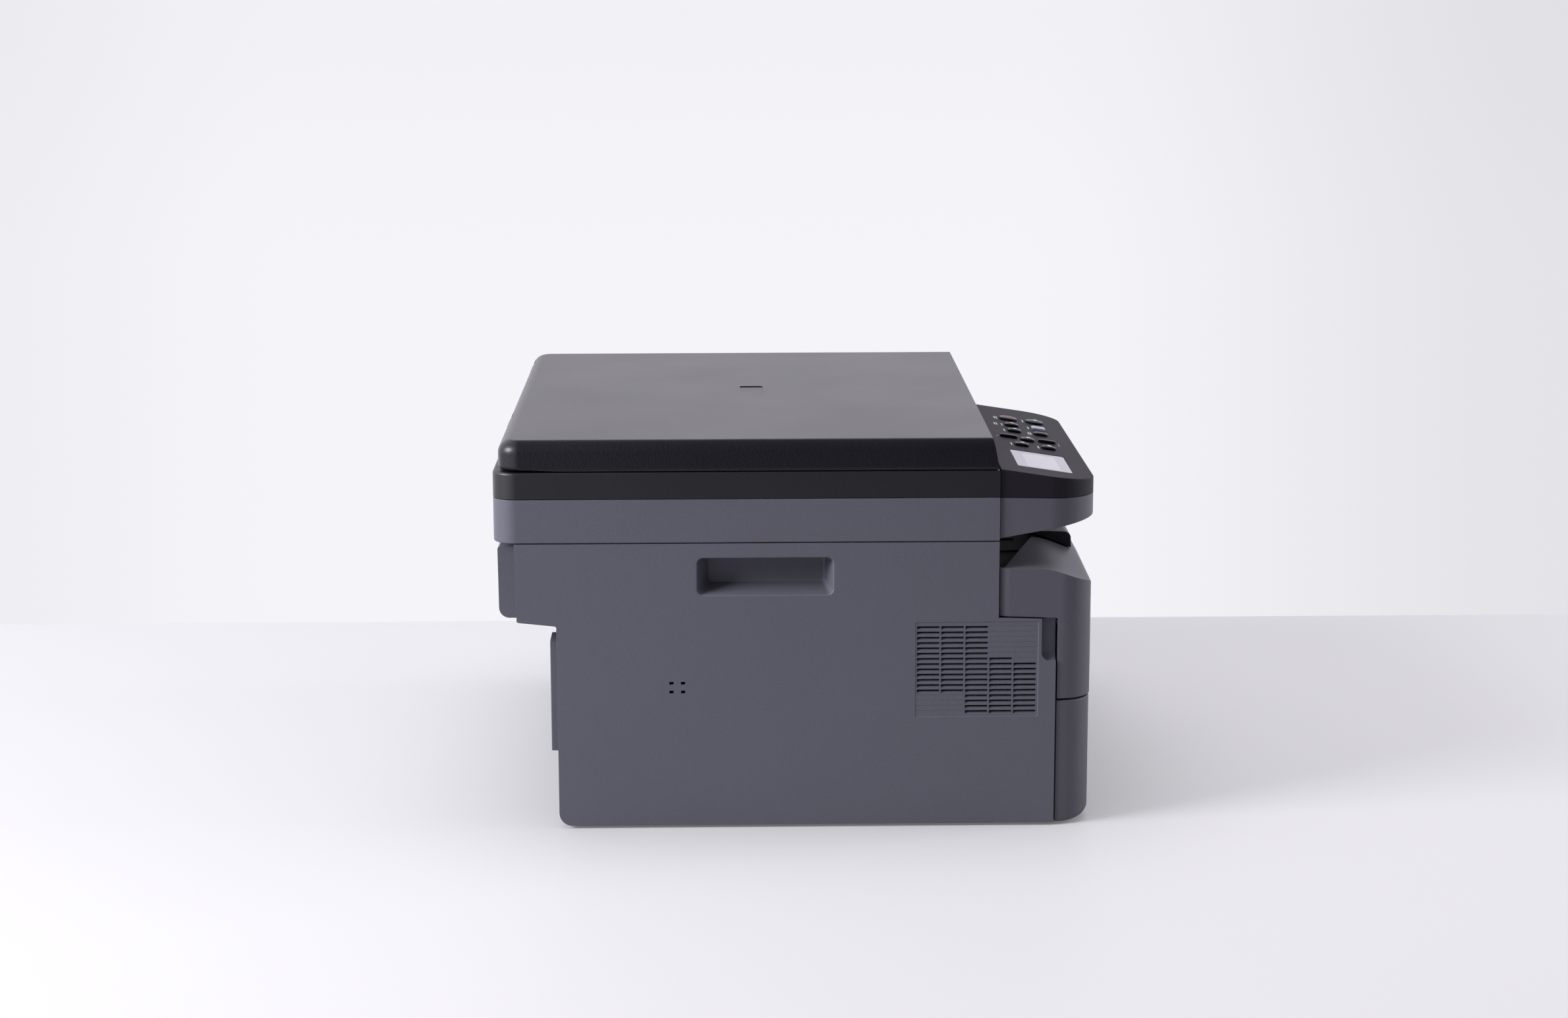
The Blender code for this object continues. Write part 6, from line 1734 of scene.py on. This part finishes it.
def sockets():
    """Mains inlet with its three blades, and the data port with its tongue."""
    x = 0.1505
    outline = [(x - 0.0135, 0.0180, 0.001), (x + 0.0135, 0.0180, 0.001),
               (x + 0.0135, 0.0400, 0.004), (x - 0.0135, 0.0400, 0.004)]
    inlet = plate("power_inlet_shell", [rounded(outline)], "XZ", 0.1390, 0.1590)
    flange = rectangle((x - 0.0160, x + 0.0160), (0.0155, 0.0425), 0.002)
    fuse(inlet, soften(plate("flange", [flange], "XZ", 0.1586, 0.1600), 0.0004, 3, 60))
    outline = [(x - 0.0112, 0.0206, 0.0008), (x + 0.0112, 0.0206, 0.0008),
               (x + 0.0112, 0.0374, 0.004), (x - 0.0112, 0.0374, 0.004)]
    cut(inlet, plate("cavity", [rounded(outline)], "XZ", 0.1430, 0.1700))
    finished(inlet, "printer_body", "inner_black", INNER_PLASTIC, ["power_inlet"])
    blades = [soften(box("blade", (u - 0.0010, u + 0.0010), (0.1425, 0.1560),
                         (v - 0.0020, v + 0.0020)), 0.0003, 2)
              for u, v in ((x - 0.0070, 0.0270), (x + 0.0070, 0.0270), (x, 0.0310))]
    finished(joined("inlet_blades", blades), "printer_body", "steel", ZINC_STEEL)
    port = soften(box("data_port_shell", (-0.1560, -0.1440), (0.1400, 0.1588), (0.0200, 0.0310)),
                  0.0005, 3)
    cut(port, box("cavity", (-0.1548, -0.1452), (0.1440, 0.1700), (0.0212, 0.0298)))
    finished(port, "printer_body", "steel", ZINC_STEEL, ["data_port"])
    tongue = soften(box("data_port_tongue", (-0.1528, -0.1472), (0.1435, 0.1560),
                        (0.0242, 0.0268)), 0.0004, 2)
    finished(tongue, "printer_body", "inner_black", INNER_PLASTIC)


def fan():
    """Cooling fan behind the left grille: square frame, struts and seven pitched blades."""
    y, z = FAN
    outer, inner = -0.1990, -BOARD_SIDE
    rim = [rectangle((y - 0.0300, y + 0.0300), (z - 0.0300, z + 0.0300), 0.0040)]
    rim += [circle((y + a, z + b), 0.0018, 24) for a in (-0.0255, 0.0255) for b in (-0.0255, 0.0255)]
    rim.append(circle(FAN, 0.0284, 96))
    housing = soften(plate("fan_frame_shell", rim, "YZ", outer, inner), 0.0005, 2, 60)
    struts = [rod("hub_plate", 0.0120, (inner - 0.0020, y, z), 0.0020, "X", 48)]
    for index in range(3):
        strut = box("strut", (inner - 0.0020, inner), (-0.0018, 0.0018), (0.0100, 0.0290))
        place = Matrix.Translation((0.0, y, z)) @ Matrix.Rotation(math.radians(120 * index), 4, "X")
        strut.data.transform(place)
        struts.append(strut)
    fuse(housing, *struts)
    finished(housing, "printer_body", "inner_black", INNER_PLASTIC, ["fan_frame"])
    middle = outer + 0.0056
    pieces = [turned("hub", [(outer + 0.0016, 0.0098), (outer + 0.0020, 0.0106),
                             (outer + 0.0028, 0.0110), (outer + 0.0096, 0.0110)], FAN, 64)]
    for index in range(7):
        sections = []
        for step in range(7):
            reach = 0.0104 + (0.0266 - 0.0104) * step / 6
            pitch = math.radians(50 - 16 * step / 6)
            chord = 0.0062 + 0.0030 * step / 6
            ring = []
            for along, across in ((-0.5, 0.0), (-0.2, 0.0006), (0.2, 0.0006), (0.5, 0.0),
                                  (0.2, -0.0002), (-0.2, -0.0002)):
                x = along * chord * math.sin(pitch) * 0.60 + across * math.cos(pitch)
                sweep = (along * chord * math.cos(pitch) - across * math.sin(pitch)) / reach
                angle = 2 * math.pi * index / 7 + sweep
                ring.append((middle + x, y + reach * math.cos(angle), z + reach * math.sin(angle)))
            sections.append(ring)
        pieces.append(loft("blade", sections))
    finished(joined("cooling_fan_blades", pieces), "cooling_fan", "inner_black", INNER_PLASTIC,
             ["cooling_fan"])


def inner_ribs():
    """Stiffening ribs inside the front cover, and the screws of the rear panel."""
    rib = soften(box("rib", (-0.0007, 0.0007), (-0.1956, -0.1915), (0.1240, 0.1560)), 0.0004, 2)
    ribs = repeated("front_cover_ribs", rib, [(9, (-0.1600, 0.0, 0.0), (0.0400, 0.0, 0.0))])
    finished(ribs, "front_cover", "front_grey", FRONT_ABS)
    screws("rear_panel_screws", "rear",
           [(x, BODY_REAR - 0.0003, z) for x in (-0.1780, 0.1780) for z in (0.0300, 0.1320)])


bottom_pan()
engine_frame()
scan_carriage()
lid_fittings()
panel_board()
cassette_tray()
toner_and_drum()
laser_and_fuser()
rollers()
drive()
boards()
sockets()
fan()
inner_ribs()


# Stage


def stage_table():
    """Pale table; the printer stands 0.2 m from its back edge and 0.5 m from its front one.
    A weak glow that only the eye meets keeps its shadows as open as a large white room does."""
    material, tree, shader = new_material("stage_table")
    place = add_node(tree, "ShaderNodeTexCoord").outputs["Object"]
    cloud = add_node(tree, "ShaderNodeTexNoise", (), {"Vector": place, "Scale": 1.5})
    tone = add_node(tree, "ShaderNodeMix", {"data_type": "RGBA"},
                    {0: cloud.outputs["Fac"], 6: colour("B0AFB3"), 7: colour("B4B3B6")})
    eye = add_node(tree, "ShaderNodeLightPath").outputs["Is Camera Ray"]
    seen = add_node(tree, "ShaderNodeMix", {"data_type": "RGBA"},
                    {0: eye, 6: colour("ABAAAF"), 7: tone.outputs[2]})
    glow = add_node(tree, "ShaderNodeMath", {"operation": "MULTIPLY"}, {0: eye, 1: 0.15})
    tree.links.new(seen.outputs[2], shader.inputs["Base Color"])
    tree.links.new(glow.outputs[0], shader.inputs["Emission Strength"])
    shader.inputs["Emission Color"].default_value = colour("F8F7FC")
    shader.inputs["Roughness"].default_value = 0.55
    shader.inputs["Specular IOR Level"].default_value = 0.2
    table = box("stage_table", (-0.80, 0.402), (-2.6, 2.6), (-0.030, 0.0))
    table.data.materials.append(material)


def surroundings():
    """Soft studio: pale to the eye and past the printer, dark where the camera stands, so
    that black sides stay black and tops seen at a low angle catch the pale wall."""
    world = bpy.data.worlds.new("studio")
    bpy.context.scene.world = world
    world.use_nodes = True
    tree = world.node_tree
    tree.nodes.clear()
    way = add_node(tree, "ShaderNodeSeparateXYZ", (),
                   {0: add_node(tree, "ShaderNodeTexCoord").outputs["Generated"]})
    behind = add_node(tree, "ShaderNodeMapRange", (),
                      {"Value": way.outputs["X"], "From Min": -0.5, "From Max": 0.4,
                       "To Min": 0.02, "To Max": 1.24})
    low_down = add_node(tree, "ShaderNodeMapRange", (),
                        {"Value": way.outputs["Z"], "From Min": 0.40, "From Max": 0.62,
                         "To Min": 1.0, "To Max": 0.10})
    wall = add_node(tree, "ShaderNodeMath", {"operation": "MULTIPLY"},
                    {0: behind.outputs[0], 1: low_down.outputs[0]})
    window = add_node(tree, "ShaderNodeMapRange", (),
                      {"Value": way.outputs["Y"], "From Min": 0.0, "From Max": 0.42,
                       "To Min": 0.0, "To Max": 1.7})
    gloss = add_node(tree, "ShaderNodeMath", {"operation": "MAXIMUM"},
                     {0: wall.outputs[0], 1: window.outputs[0]})
    overhead = add_node(tree, "ShaderNodeMapRange", (),
                        {"Value": way.outputs["Z"], "From Min": 0.0, "From Max": 0.9,
                         "To Min": 0.10, "To Max": 0.80})
    sideways = add_node(tree, "ShaderNodeMapRange", (),
                        {"Value": way.outputs["Y"], "From Min": -0.7, "From Max": 0.9,
                         "To Min": 0.90, "To Max": 1.4})
    away = add_node(tree, "ShaderNodeMapRange", (),
                    {"Value": way.outputs["X"], "From Min": -0.92, "From Max": -0.25,
                     "To Min": 0.34, "To Max": 1.0})
    fill = add_node(tree, "ShaderNodeMath", {"operation": "MULTIPLY"},
                    {0: overhead.outputs[0], 1: sideways.outputs[0]})
    fill = add_node(tree, "ShaderNodeMath", {"operation": "MULTIPLY"},
                    {0: fill.outputs[0], 1: away.outputs[0]})
    path = add_node(tree, "ShaderNodeLightPath")
    pale = colour("F5F4F9")
    backdrop = 1.0
    for axis, start, end, dim in (("Y", -0.09, -0.27, 0.85), ("Y", 0.14, 0.25, 0.94),
                                  ("Z", -0.12, -0.02, 0.97)):
        shade = add_node(tree, "ShaderNodeMapRange", {"interpolation_type": "SMOOTHSTEP"},
                         {"Value": way.outputs[axis], "From Min": start, "From Max": end,
                          "To Min": 1.0, "To Max": dim})
        backdrop = add_node(tree, "ShaderNodeMath", {"operation": "MULTIPLY"},
                            {0: shade.outputs[0], 1: backdrop}).outputs[0]
    seen = add_node(tree, "ShaderNodeBackground", (), {"Color": pale, "Strength": backdrop})
    mirrored = add_node(tree, "ShaderNodeBackground", (),
                        {"Color": colour("F7F3FE"), "Strength": gloss.outputs[0]})
    lit = add_node(tree, "ShaderNodeBackground", (), {"Color": pale, "Strength": fill.outputs[0]})
    direct = add_node(tree, "ShaderNodeMath", {"operation": "MAXIMUM"},
                      {0: path.outputs["Is Camera Ray"], 1: path.outputs["Is Transmission Ray"]})
    mixed = add_node(tree, "ShaderNodeMixShader", (),
                     {0: path.outputs["Is Glossy Ray"], 1: lit.outputs[0], 2: mirrored.outputs[0]})
    mixed = add_node(tree, "ShaderNodeMixShader", (),
                     {0: direct.outputs[0], 1: mixed.outputs[0], 2: seen.outputs[0]})
    add_node(tree, "ShaderNodeOutputWorld", (), {"Surface": mixed.outputs[0]})


def softbox(name, place, aim, size, power, mirrored=True):
    light = bpy.data.lights.new(name, "AREA")
    light.shape = "RECTANGLE"
    light.size, light.size_y = size
    light.energy = power
    lamp = bpy.data.objects.new(name, light)
    bpy.context.scene.collection.objects.link(lamp)
    lamp.location = place
    lamp.rotation_euler = (Vector(aim) - Vector(place)).to_track_quat("-Z", "Y").to_euler()
    lamp.visible_glossy = mirrored


def camera():
    """The photograph's viewing angle: left side, a little from above."""
    turn, dip, roll = 0.01799, 0.19523, -0.00234
    ahead = Vector((math.cos(turn), -math.sin(turn), 0.0))
    right = Vector((-math.sin(turn), -math.cos(turn), 0.0))
    up = Vector((0.0, 0.0, 1.0))
    down_ahead = ahead * math.cos(dip) - up * math.sin(dip)
    up = up * math.cos(dip) + ahead * math.sin(dip)
    across = right * math.cos(roll) + up * math.sin(roll)
    up = up * math.cos(roll) - right * math.sin(roll)
    lens = bpy.data.cameras.new("camera")
    lens.lens = 69.82
    lens.sensor_width = 36.0
    eye = bpy.data.objects.new("camera", lens)
    bpy.context.scene.collection.objects.link(eye)
    eye.matrix_world = Matrix((
        (across.x, up.x, -down_ahead.x, -2.16479), (across.y, up.y, -down_ahead.y, 0.04294),
        (across.z, up.z, -down_ahead.z, 0.60511), (0.0, 0.0, 0.0, 1.0)))
    bpy.context.scene.camera = eye


camera()
stage_table()
surroundings()
softbox("key", (-1.0, 2.0, 1.25), (0.0, 0.0, 0.12), (1.0, 0.9), 70.0)
softbox("front", (0.1, -2.2, 0.90), (0.0, -0.1, 0.14), (1.0, 1.0), 21.0)
softbox("top", (0.1, 0.1, 2.4), (0.0, 0.0, 0.1), (1.6, 1.6), 27.0, mirrored=False)
bpy.context.scene.view_settings.view_transform = "Standard"
